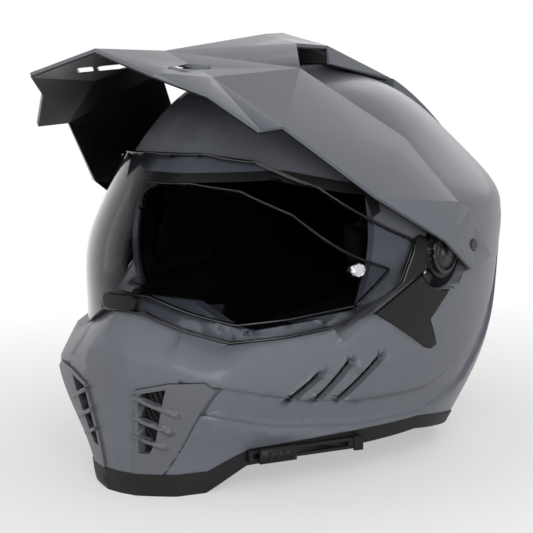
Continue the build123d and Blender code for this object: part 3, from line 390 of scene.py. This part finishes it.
@dataclass(frozen=True)
class KnitFinish(Finish):
    """Brushed knit cloth, with rows of loops and a fuzz over them.

    Attributes:
        stitch: Width of a loop in metres.
        squat: How much closer the rows lie than the loops in a row, as a share.
        loops: Share of the relief that is loops.
        fuzz: Size of the fuzz in metres.
        nap: Size of the patches of painted sheen, lighter and darker where the nap would lie another way,
            in metres.
    """

    stitch: float = 1.1 * MM
    squat: float = 0.7
    loops: float = 0.35
    fuzz: float = 0.5 * MM
    nap: float = 9 * MM

    def pattern(self, book: NodeBook) -> tuple[Wire, Wire]:
        """Loops in rows under the fuzz, and the patches of painted nap sheen.

        Args:
            book: The material's nodes.

        Returns:
            The height and the mask of the painted sheen.
        """
        across, along, high = book.axes()
        turn = 2 * math.pi / self.stitch
        rows = ((across + along) * turn).sine() * (high * (turn * self.squat)).sine()
        fuzz = book.noise(self.fuzz, detail=4.0)
        return rows * self.loops + fuzz * (1.0 - self.loops), book.noise(self.nap, detail=4.0)


@dataclass(frozen=True)
class WebbingFinish(Finish):
    """Woven strap with slanted ribs across its width.

    Attributes:
        rib: From one rib to the next in metres.
        slant: How far the ribs lean over.
    """

    rib: float = 1.6 * MM
    slant: float = 0.6

    def pattern(self, book: NodeBook) -> tuple[Wire, Wire]:
        """A twill of ribs, and thread ends between them.

        Args:
            book: The material's nodes.

        Returns:
            The weave, as height and as mask.
        """
        across, along, high = book.axes()
        turn = 2 * math.pi / self.rib
        twill = ((along + high * self.slant + across * self.slant) * turn).sine()
        cross = ((along - high * self.slant - across * self.slant) * turn).sine()
        weave = (twill * cross) * 0.5 + 0.5
        return weave, weave


@dataclass(frozen=True)
class BeadFinish(Finish):
    """Moulded bead foam, whose beads show as flat cells.

    Attributes:
        bead: Size of a bead in metres.
        joint: Where a bead ends and the joint begins, in beads from its middle.
        joint_soft: Width of that change in beads.
    """

    bead: float = 3.2 * MM
    joint: float = 0.35
    joint_soft: float = 0.5

    def pattern(self, book: NodeBook) -> tuple[Wire, Wire]:
        """Cells with shallow joints between them."""
        cells = book.cells(self.bead)
        return 1.0 - cells, cells.over(self.joint, self.joint_soft)


@dataclass(frozen=True)
class GrilleFinish(Finish):
    """Black mesh, open in a fine pattern of small holes.

    Attributes:
        hole: From one hole to the next, upwards, in metres.
        wide: How much further apart they are across, as a share of the turns.
        wire: Height of the pattern where a wire ends.
        wire_soft: Width of that change.
    """

    hole: float = 2.6 * MM
    wide: float = 0.7
    wire: float = 0.30
    wire_soft: float = 0.08

    def build(self, book: NodeBook) -> bpy.types.Material:
        """Fill the mesh material's nodes.

        Args:
            book: The new material's nodes.

        Returns:
            The material.
        """
        across, along, high = book.axes()
        turn = 2 * math.pi / self.hole
        first = ((across - along) * (self.wide * turn)).sine()
        second = (high * turn).sine()
        wires = (first * second).absolute()
        solid = 1.0 - wires.over(self.wire, self.wire_soft)
        shader = book.node(
            "ShaderNodeBsdfPrincipled", None, Base_Color=(*self.colour, 1.0), Roughness=self.roughness,
            Alpha=solid, Normal=book.bump(wires, -self.depth),
        )
        return book.finish(shader)


@dataclass(frozen=True)
class LensFinish(Finish):
    """Clear or tinted lens: it shows what lies behind it, mirrors more at a glance and there turns dark
    with painted shade.

    Attributes:
        tint: Colour of what is seen through it.
        glare: How much it mirrors where the eye looks along it.
        bend: How fast that grows as it turns away from the eye.
        edge: How much painted shade, a near-black surface, takes its place where the eye looks along it.
        edge_from: How far it has to turn away to be half as dark, 0 to 1.
        edge_soft: How much further it turns from clear to dark.
        edge_rough: Roughness of that dark edge.
        wave: Size of the soft waves in its face in metres.
        wave_deep: Depth of these waves in metres.
    """

    tint: Colour = (0.92, 0.93, 0.94)
    glare: float = 0.6
    bend: float = 5.0
    edge: float = 0.94
    edge_from: float = 0.34
    edge_soft: float = 0.24
    edge_rough: float = 0.12
    wave: float = 60 * MM
    wave_deep: float = 0.15 * MM

    def build(self, book: NodeBook) -> bpy.types.Material:
        """Fill the lens material's nodes.

        Args:
            book: The new material's nodes.

        Returns:
            The material.
        """
        ripple = book.bump(book.noise(self.wave, detail=1.0), self.wave_deep)
        glare = book.node(
            "ShaderNodeBsdfPrincipled", None, Base_Color=(*self.colour, 1.0), Roughness=self.roughness,
            Metallic=1.0, Normal=ripple,
        )
        clear = book.node("ShaderNodeBsdfTransparent", None, Color=(*self.tint, 1.0))
        # Painted shade: a near-black opaque surface takes the lens's place where it is seen at a glance.
        thick = book.node(
            "ShaderNodeBsdfPrincipled", None, Base_Color=(*self.shade, 1.0), Roughness=self.edge_rough,
        )
        turned = book.node("ShaderNodeLayerWeight", None, Blend=0.5, out=1)
        dark = turned.over(self.edge_from, self.edge_soft) * self.edge
        through = book.node("ShaderNodeMixShader", None, dark, clear, thick)
        amount = turned ** self.bend * self.glare
        return book.finish(book.node("ShaderNodeMixShader", None, amount, through, glare))


class Palette(Enum):
    """Every finish of the helmet."""

    SHELL = Finish("shell_grey", Slot.SHELL, (0.132, 0.140, 0.162), (0.118, 0.125, 0.146),
                   roughness=0.40, uneven=0.03, grain=0.9 * MM, depth=0.010 * MM, coat=0.18, shine=0.30)
    VENT_GREY = Finish("vent_grey", Slot.GREY, (0.118, 0.124, 0.142), (0.102, 0.107, 0.123),
                       roughness=0.42, uneven=0.04, grain=0.7 * MM, depth=0.015 * MM, coat=0.15, shine=0.35)
    BLACK = Finish("moulded_black", Slot.BLACK, (0.0080, 0.0080, 0.0088), (0.0055, 0.0055, 0.0060),
                   roughness=0.42, grain=0.45 * MM, depth=0.03 * MM, shine=0.22)
    UNDERSIDE = Finish("underside_black", Slot.BLACK, (0.0050, 0.0050, 0.0055), (0.0035, 0.0035, 0.0040),
                       roughness=0.30, uneven=0.04, grain=0.9 * MM, depth=0.010 * MM, shine=0.18)
    HUB = Finish("hub_black", Slot.BLACK, (0.012, 0.012, 0.013), (0.008, 0.008, 0.009),
                 roughness=0.34, grain=0.4 * MM, depth=0.015 * MM, shine=0.4)
    # Its second colour is painted shade, laid into the rib grooves.
    RIBBED = RibbedFinish("ribbed_black", Slot.BLACK, (0.014, 0.014, 0.015), (0.004, 0.004, 0.0045),
                          roughness=0.5, depth=0.35 * MM, shine=0.3)
    RUBBER = Finish("edge_rubber", Slot.RUBBER, (0.009, 0.009, 0.009), (0.006, 0.006, 0.006),
                    roughness=0.60, uneven=0.1, grain=0.35 * MM, depth=0.03 * MM, shine=0.3)
    # Also the colour of the visor's painted edge shade bead, beside the real seal of the fog insert.
    SEAL = Finish("seal_and_visor_edge_shade", Slot.RUBBER, (0.006, 0.006, 0.007), (0.004, 0.004, 0.005),
                  roughness=0.18, uneven=0.03, grain=0.5 * MM, depth=0.004 * MM, shine=0.6)
    FOAM = BeadFinish("bead_foam", Slot.FOAM, (0.010, 0.010, 0.011), (0.006, 0.006, 0.006),
                      roughness=0.75, depth=0.12 * MM, shine=0.15)
    # Its second colour is painted sheen, in patches where the nap lies another way.
    KNIT = KnitFinish("lining_knit", Slot.FABRIC, (0.0070, 0.0070, 0.0078), (0.0035, 0.0035, 0.0040),
                      roughness=0.9, depth=0.30 * MM, shine=0.10)
    WEBBING = WebbingFinish("strap_webbing", Slot.STRAP, (0.012, 0.012, 0.013), (0.005, 0.005, 0.005),
                            roughness=0.8, depth=0.25 * MM, shine=0.2)
    GRILLE = GrilleFinish("vent_mesh", Slot.BLACK, (0.008, 0.008, 0.008), (0.005, 0.005, 0.005),
                          roughness=0.5, depth=0.4 * MM)
    STEEL = Finish("bright_steel", Slot.STEEL, (0.62, 0.63, 0.65), (0.55, 0.56, 0.58),
                   roughness=0.24, uneven=0.05, grain=0.4 * MM, depth=0.004 * MM, metallic=1.0)
    # For the lenses, the second colour is that of their painted shade at a glance.
    FOG = LensFinish("fog_insert", Slot.CLEAR, (0.9, 0.9, 0.9), (0.02, 0.02, 0.022),
                     roughness=0.06, tint=(0.93, 0.93, 0.94), glare=0.4, edge=0.5)
    CLEAR = LensFinish("clear_visor", Slot.CLEAR, (0.95, 0.96, 0.97), (0.012, 0.012, 0.016),
                       roughness=0.03, tint=(0.88, 0.89, 0.90), glare=0.5)
    SMOKE = LensFinish("smoke_shade", Slot.SMOKE, (0.9, 0.9, 0.92), (0.01, 0.01, 0.01),
                       roughness=0.05, tint=(0.16, 0.16, 0.17), glare=0.5)


def only(piece: bpy.types.Object) -> None:
    """Select one object and make it active.

    Args:
        piece: The object.
    """
    bpy.ops.object.select_all(action="DESELECT")
    piece.hide_set(False)
    piece.select_set(True)
    bpy.context.view_layer.objects.active = piece


def settle(piece: bpy.types.Object) -> None:
    """Move a piece's place into its mesh."""
    only(piece)
    bpy.ops.object.transform_apply(location=True, rotation=True, scale=True)


def apply_modifier(piece: bpy.types.Object, kind: str, **settings: object) -> None:
    """Add one modifier and apply it.

    Args:
        piece: The mesh object.
        kind: The modifier's type.
        settings: Its settings.
    """
    only(piece)
    made = piece.modifiers.new(kind.lower(), kind)
    for key, value in settings.items():
        setattr(made, key, value)
    bpy.ops.object.modifier_apply(modifier=made.name)


def dress(piece: bpy.types.Object, finish: Palette, body: Body) -> bpy.types.Object:
    """Give a finished piece its material and its body.

    Args:
        piece: The mesh object, in place.
        finish: Its finish.
        body: The body that it moves with.

    Returns:
        The same object.
    """
    piece.data.materials.clear()
    piece.data.materials.append(finish.value.make())
    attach(piece, body.value)
    LOG.info("%s in %s on %s", piece.name, finish.value.name, body.value)
    return piece


def merged_copy(node: str, name: str) -> bpy.types.Object:
    """Copy a solid's mesh and join its loose triangles.

    Args:
        node: The solid's name.
        name: The copy's name.

    Returns:
        The copy, which rides on nothing yet.
    """
    only(frame["nodes"][node])
    bpy.ops.object.duplicate()
    piece = bpy.context.view_layer.objects.active
    piece.name = name
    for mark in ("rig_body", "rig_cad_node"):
        del piece[mark]
    piece.parent = None
    bpy.ops.object.mode_set(mode="EDIT")
    bpy.ops.mesh.select_all(action="SELECT")
    bpy.ops.mesh.remove_doubles(threshold=WELD)
    bpy.ops.object.mode_set(mode="OBJECT")
    return piece


def rim_bead(node: str, name: str, finish: Palette, body: Body, thick: float,
             angle: float = 55.0) -> bpy.types.Object:
    """Lay a round bead along every cut edge of a sheet.

    Args:
        node: The sheet's name.
        name: The bead's name.
        finish: The bead's finish.
        body: The body that it moves with.
        thick: The bead's radius in metres.
        angle: The least turn in degrees of a cut edge.

    Returns:
        The bead.
    """
    piece = merged_copy(node, name)
    bpy.ops.object.mode_set(mode="EDIT")
    bpy.ops.mesh.select_mode(type="EDGE")
    bpy.ops.mesh.select_all(action="DESELECT")
    bpy.ops.mesh.edges_select_sharp(sharpness=math.radians(angle))
    bpy.ops.mesh.select_all(action="INVERT")
    bpy.ops.mesh.delete(type="EDGE_FACE")
    bpy.ops.mesh.select_all(action="SELECT")
    bpy.ops.mesh.delete_loose(use_verts=True, use_edges=False, use_faces=False)
    bpy.ops.object.mode_set(mode="OBJECT")
    bpy.ops.object.convert(target="CURVE")
    piece = bpy.context.view_layer.objects.active
    piece.data.bevel_depth = thick
    piece.data.bevel_resolution = 2
    bpy.ops.object.convert(target="MESH")
    piece = bpy.context.view_layer.objects.active
    bpy.ops.object.shade_smooth()
    return dress(piece, finish, body)


def smooth_skin(node: str, finish: Palette, body: Body, angle: float = 32.0,
                shape: Optional[Callable[[bpy.types.Object], None]] = None) -> bpy.types.Object:
    """Copy a solid's mesh, join its loose triangles and smooth it, and stand it in for the solid.

    Args:
        node: The solid's name.
        finish: The copy's finish.
        body: The body that it moves with.
        angle: The sharpest turn in degrees that is still smooth.
        shape: What is done to the copy before it is dressed.

    Returns:
        The new piece.
    """
    piece = merged_copy(node, node + "_skin")
    if shape:
        shape(piece)
    only(piece)
    bpy.ops.object.shade_smooth_by_angle(angle=math.radians(angle))
    dress(piece, finish, body)
    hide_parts(node)
    return piece


def soft_edges(width: float, segments: int = 2, angle: float = 25.0) -> Callable[[bpy.types.Object], None]:
    """What rounds a piece's sharp edges.

    Args:
        width: The rounding in metres.
        segments: The faces across it.
        angle: The least turn in degrees that is rounded.

    Returns:
        A function of the piece.
    """
    def shape(piece: bpy.types.Object) -> None:
        """Round the piece's sharp edges."""
        apply_modifier(piece, "BEVEL", width=width, segments=segments, limit_method="ANGLE",
                       angle_limit=math.radians(angle), use_clamp_overlap=True)
    return shape


def plump(voxel: float, rounds: int = 12, ease: float = 0.6) -> Callable[[bpy.types.Object], None]:
    """What turns a plain pad into a stuffed one.

    Args:
        voxel: The remesh size in metres.
        rounds: How often its corners are smoothed.
        ease: How far they give each time, as a share.

    Returns:
        A function of the piece.
    """
    def shape(piece: bpy.types.Object) -> None:
        """Remesh, smooth and subdivide the pad.

        Args:
            piece: The pad.
        """
        apply_modifier(piece, "REMESH", mode="VOXEL", voxel_size=voxel)
        apply_modifier(piece, "SMOOTH", factor=ease, iterations=rounds)
        apply_modifier(piece, "SUBSURF", levels=1, render_levels=1)
    return shape


@dataclass
class ShellWork:
    """The outer shell with its rims, trims and rear spoiler."""

    def build(self) -> None:
        """Dress the painted shell and what is fixed to its face."""
        smooth_skin("outer_shell", Palette.SHELL, Body.HELMET)
        smooth_skin("bottom_trim", Palette.RUBBER, Body.HELMET)
        smooth_skin("eyeport_gasket", Palette.RUBBER, Body.HELMET)
        smooth_skin("rear_spoiler", Palette.SHELL, Body.HELMET)
        smooth_skin("crown_vent_slider", Palette.BLACK, Body.CROWN_VENT)
        for side in ("left", "right"):
            smooth_skin(f"side_trim_{side}", Palette.RIBBED, Body.HELMET)


@dataclass
class VentWork:
    """Chin vent covers and the mesh behind every opening."""

    def build(self) -> None:
        """Dress the covers and the mesh."""
        for side in ("left", "right"):
            smooth_skin(f"chin_vent_cover_{side}", Palette.VENT_GREY, Body.HELMET)
            smooth_skin(f"chin_mesh_{side}", Palette.GRILLE, Body.HELMET)
            smooth_skin(f"cheek_mesh_{side}", Palette.GRILLE, Body.HELMET)


@dataclass
class PeakWork:
    """The faceted peak, its black underside and its screws.

    Attributes:
        edge: Rounding of the folds in metres.
        edge_faces: Faces across that rounding.
        fold: The least turn in degrees of a fold.
        flat: The sharpest turn in degrees that is still smooth.
        slot_way: The way in which the air slots on the wearer's right slant through the peak.
        slot_roll: How far they are turned about that way, in degrees.
        slot_reach: Length of the cut along that way in metres.
        slot_tall: Height of a slot in metres.
        slot_round: Rounding of a slot's corners, as a share of its height.
        slots: Middle and width in millimetres of each slot on the wearer's right.
    """

    edge: float = 0.9 * MM
    edge_faces: int = 3
    fold: float = 4.0
    flat: float = 20.0
    slot_way: Place = (-0.67, 0.74, -0.05)
    slot_roll: float = -4.0
    slot_reach: float = 36.0 * MM
    slot_tall: float = 2.6 * MM
    slot_round: float = 0.2
    slots: tuple[tuple[Place, float], ...] = (
        ((-33.0, -136.5, 256.4), 9.5), ((-28.5, -117.0, 256.8), 18.5),
    )

    def cutter(self, middle: Vector, wide: float, side: int) -> bpy.types.Object:
        """Make the block that cuts one slot.

        Args:
            middle: The slot's middle on the wearer's right, in metres.
            wide: Its width in metres.
            side: -1 for the wearer's right and 1 for the left.

        Returns:
            The block, in place.
        """
        place = Vector((-side * middle.x, middle.y, middle.z))
        way = Vector((-side * self.slot_way[0], self.slot_way[1], self.slot_way[2])).normalized()
        roll = Matrix.Rotation(math.radians(-side * self.slot_roll), 4, "Y")
        bpy.ops.object.select_all(action="DESELECT")
        bpy.ops.mesh.primitive_cube_add(size=1.0)
        block = bpy.context.object
        block.matrix_world = (
            Matrix.Translation(place) @ way.to_track_quat("Y", "Z").to_matrix().to_4x4() @ roll
            @ Matrix.Diagonal((wide, self.slot_reach, self.slot_tall, 1.0))
        )
        settle(block)
        apply_modifier(block, "BEVEL", width=self.slot_round * self.slot_tall, segments=2)
        return block

    def cut_slots(self, piece: bpy.types.Object) -> None:
        """Cut the air slots through a piece, on both sides.

        Args:
            piece: The peak or its lining.
        """
        for side in (-1, 1):
            for middle, wide in self.slots:
                block = self.cutter(Vector(middle) * MM, wide * MM, side)
                apply_modifier(piece, "BOOLEAN", operation="DIFFERENCE", object=block, solver="EXACT")
                bpy.data.objects.remove(block)

    def slotted(self, piece: bpy.types.Object) -> None:
        """Cut the slots, then soften the folds."""
        self.cut_slots(piece)
        soft_edges(self.edge, self.edge_faces, self.fold)(piece)

    def build(self) -> None:
        """Dress the peak with softened folds and its slots."""
        smooth_skin("peak", Palette.SHELL, Body.HELMET, angle=self.flat, shape=self.slotted)
        smooth_skin("peak_lining", Palette.UNDERSIDE, Body.HELMET, angle=self.flat, shape=self.cut_slots)
        smooth_skin("peak_screws", Palette.HUB, Body.HELMET)


@dataclass
class VisorWork:
    """The clear visor with its ears, pins, lock tab and pivots.

    Attributes:
        rim: Radius of the dark bead laid along the visor's edges as painted shade, in metres.
        seal: Radius of the fog insert's silicone seal in metres.
    """

    rim: float = 0.7 * MM
    seal: float = 0.9 * MM

    def build(self) -> None:
        """Dress what turns with the visor, and the pivots that carry it."""
        # Painted shade: a dark bead along the clear visor's edges, which stand dark in shade.
        rim_bead("visor_lens", "visor_edge_shade", Palette.SEAL, Body.VISOR, self.rim)
        rim_bead("anti_fog_lens", "fog_seal", Palette.SEAL, Body.VISOR, self.seal)
        smooth_skin("visor_lens", Palette.CLEAR, Body.VISOR)
        smooth_skin("anti_fog_lens", Palette.FOG, Body.VISOR)
        smooth_skin("lens_pins", Palette.STEEL, Body.VISOR)
        smooth_skin("visor_tab", Palette.BLACK, Body.VISOR)
        for side in ("left", "right"):
            smooth_skin(f"visor_ear_{side}", Palette.BLACK, Body.VISOR)
            smooth_skin(f"pivot_hub_{side}", Palette.HUB, Body.HELMET)
            smooth_skin(f"pivot_base_{side}", Palette.BLACK, Body.HELMET)
        smooth_skin("base_screws", Palette.STEEL, Body.HELMET)


@dataclass
class ShadeWork:
    """The sun shade, its pins, and the lever on its rail."""

    def build(self) -> None:
        """Dress the shade and its lever."""
        smooth_skin("sun_shade", Palette.SMOKE, Body.SHADE)
        smooth_skin("shade_pins", Palette.STEEL, Body.HELMET)
        smooth_skin("slider_rail", Palette.BLACK, Body.HELMET)
        smooth_skin("shade_slider", Palette.BLACK, Body.LEVER)


@dataclass
class LiningWork:
    """Impact liner, comfort linings, curtain and breath guard.

    Attributes:
        voxel: The size to which the pads are remeshed, in metres.
        smooth: The sharpest turn in degrees that is still smooth on a pad.
        pad_fill: How full the pads are; not used.
        curtain_fill: How full the thin curtain is; not used.
    """

    voxel: float = 3.0 * MM
    smooth: float = 60.0
    pad_fill: float = 0.7
    curtain_fill: float = 0.2

    def build(self) -> None:
        """Make the pads soft and dress all the linings."""
        smooth_skin("eps_liner", Palette.FOAM, Body.HELMET)
        for node in ("crown_liner", "cheek_pad_left", "cheek_pad_right", "neck_roll"):
            pad = smooth_skin(node, Palette.KNIT, Body.HELMET, self.smooth, plump(self.voxel))
        curtain = smooth_skin("chin_curtain", Palette.KNIT, Body.HELMET)
        smooth_skin("breath_guard", Palette.RUBBER, Body.HELMET)


@dataclass
class StrapWork:
    """Chin strap, its rivets and its rings."""

    def build(self) -> None:
        """Dress the strap as webbing and the rings as steel."""
        for side in ("left", "right"):
            smooth_skin(f"chin_strap_{side}", Palette.WEBBING, Body.HELMET)
        smooth_skin("strap_rivets", Palette.STEEL, Body.HELMET)
        smooth_skin("d_rings", Palette.STEEL, Body.HELMET)


@dataclass
class Studio:
    """Floor, soft lamps and the camera of the photograph.

    Attributes:
        eye: The camera's place.
        sight: The way it looks.
        top: The image's upward way.
        lens: Focal length in millimetres.
        sensor: Width of the sensor in millimetres.
        near: The nearest distance that it sees in metres.
        fade_from: Distance from the middle where the floor is half way to plain white.
        fade_wide: Width of that change.
        shadow: Share of plain white that is left beside the helmet.
        daylight: Strength of the even light from all round.
        floor_wide: Width of the floor in metres.
        floor_grey: Its plain colour, the same in red, green and blue.
        aim: What the lamps face.
        lamps: Name, place, width and height in metres, and power in watts of each lamp.
    """

    eye: Place = (0.7018, -0.8400, 0.2962)
    sight: Place = (-0.638, 0.753, -0.161)
    top: Place = (-0.078, 0.145, 0.986)
    lens: float = 111.44
    sensor: float = 36.0
    near: float = 0.05
    fade_from: float = 0.34
    fade_wide: float = 0.36
    shadow: float = 0.45
    daylight: float = 0.42
    floor_wide: float = 12.0
    floor_grey: float = 0.9
    aim: Place = (0.0, 0.0, 0.14)
    lamps: tuple[tuple[str, Place, tuple[float, float], float], ...] = (
        ("key", (1.05, -1.20, 0.85), (1.2, 0.8), 12.0),
        ("side", (1.35, -0.85, 0.12), (0.4, 0.5), 5.0),
        ("fill", (-1.5, -1.1, 0.6), (1.2, 1.2), 2.5),
        ("back", (-0.4, 1.6, 0.8), (1.4, 0.8), 4.0),
    )

    def camera(self) -> None:
        """Put the camera where the photograph was taken from."""
        back = -Vector(self.sight).normalized()
        right = Vector(self.top).cross(back).normalized()
        rise = back.cross(right)
        turn = Matrix((right, rise, back)).transposed().to_4x4()
        data = bpy.data.cameras.new("photo_camera")
        data.lens = self.lens
        data.sensor_width = self.sensor
        data.clip_start = self.near
        data.dof.use_dof = False
        camera = bpy.data.objects.new("photo_camera", data)
        camera.matrix_world = Matrix.Translation(self.eye) @ turn
        bpy.context.scene.collection.objects.link(camera)
        bpy.context.scene.camera = camera

    def lamp(self, name: str, place: Place, size: tuple[float, float], power: float) -> None:
        """Hang one soft box that faces the helmet.

        Args:
            name: The lamp's name.
            place: Where it hangs.
            size: Its width and height.
            power: Its power in watts.
        """
        data = bpy.data.lights.new(name, "AREA")
        data.shape = "RECTANGLE"
        data.size, data.size_y = size
        data.energy = power
        lamp = bpy.data.objects.new(name, data)
        way = Vector(self.aim) - Vector(place)
        lamp.matrix_world = Matrix.Translation(place) @ way.to_track_quat("-Z", "Y").to_matrix().to_4x4()
        bpy.context.scene.collection.objects.link(lamp)

    def floor(self) -> None:
        """Lay the pale floor, which fades to plain white away from the helmet and keeps its shadow."""
        bpy.ops.object.select_all(action="DESELECT")
        bpy.ops.mesh.primitive_plane_add(size=self.floor_wide, location=(0.0, 0.0, 0.0))
        floor = bpy.context.object
        floor.name = "floor"
        settle(floor)
        book = NodeBook(bpy.data.materials.new("floor_white"))
        across, along, _ = book.axes()
        away = (across * across + along * along) ** 0.5
        plain = away.over(self.fade_from, self.fade_wide) * (1.0 - self.shadow) + self.shadow
        grey = (self.floor_grey, self.floor_grey, self.floor_grey, 1.0)
        matt = book.node("ShaderNodeBsdfPrincipled", None, Base_Color=grey, Roughness=0.7)
        white = book.node("ShaderNodeEmission", None, Color=WHITE, Strength=1.0)
        both = book.node("ShaderNodeMixShader", None, book.straight() * plain, matt, white)
        floor.data.materials.append(book.finish(both))

    def world(self) -> None:
        """Light the scene evenly, and show white where nothing stands."""
        world = bpy.data.worlds.new("studio")
        bpy.context.scene.world = world
        book = NodeBook(world)
        even = book.node("ShaderNodeBackground", None, WHITE, self.daylight)
        seen = book.node("ShaderNodeBackground", None, WHITE, 1.0)
        both = book.node("ShaderNodeMixShader", None, book.straight(), even, seen)
        book.finish(both, "ShaderNodeOutputWorld")

    def build(self) -> None:
        """Set the whole studio."""
        bpy.context.scene.view_settings.view_transform = "Standard"
        self.camera()
        self.world()
        self.floor()
        for name, place, size, power in self.lamps:
            self.lamp(name, place, size, power)


def main() -> None:
    """Build every sub-assembly in order, then the studio."""
    logging.basicConfig(level=logging.INFO, format="%(name)s: %(message)s")
    for work in (ShellWork(), VentWork(), PeakWork(), VisorWork(), ShadeWork(), LiningWork(), StrapWork()):
        work.build()
    Studio().build()


if __name__ == "__main__":
    main()
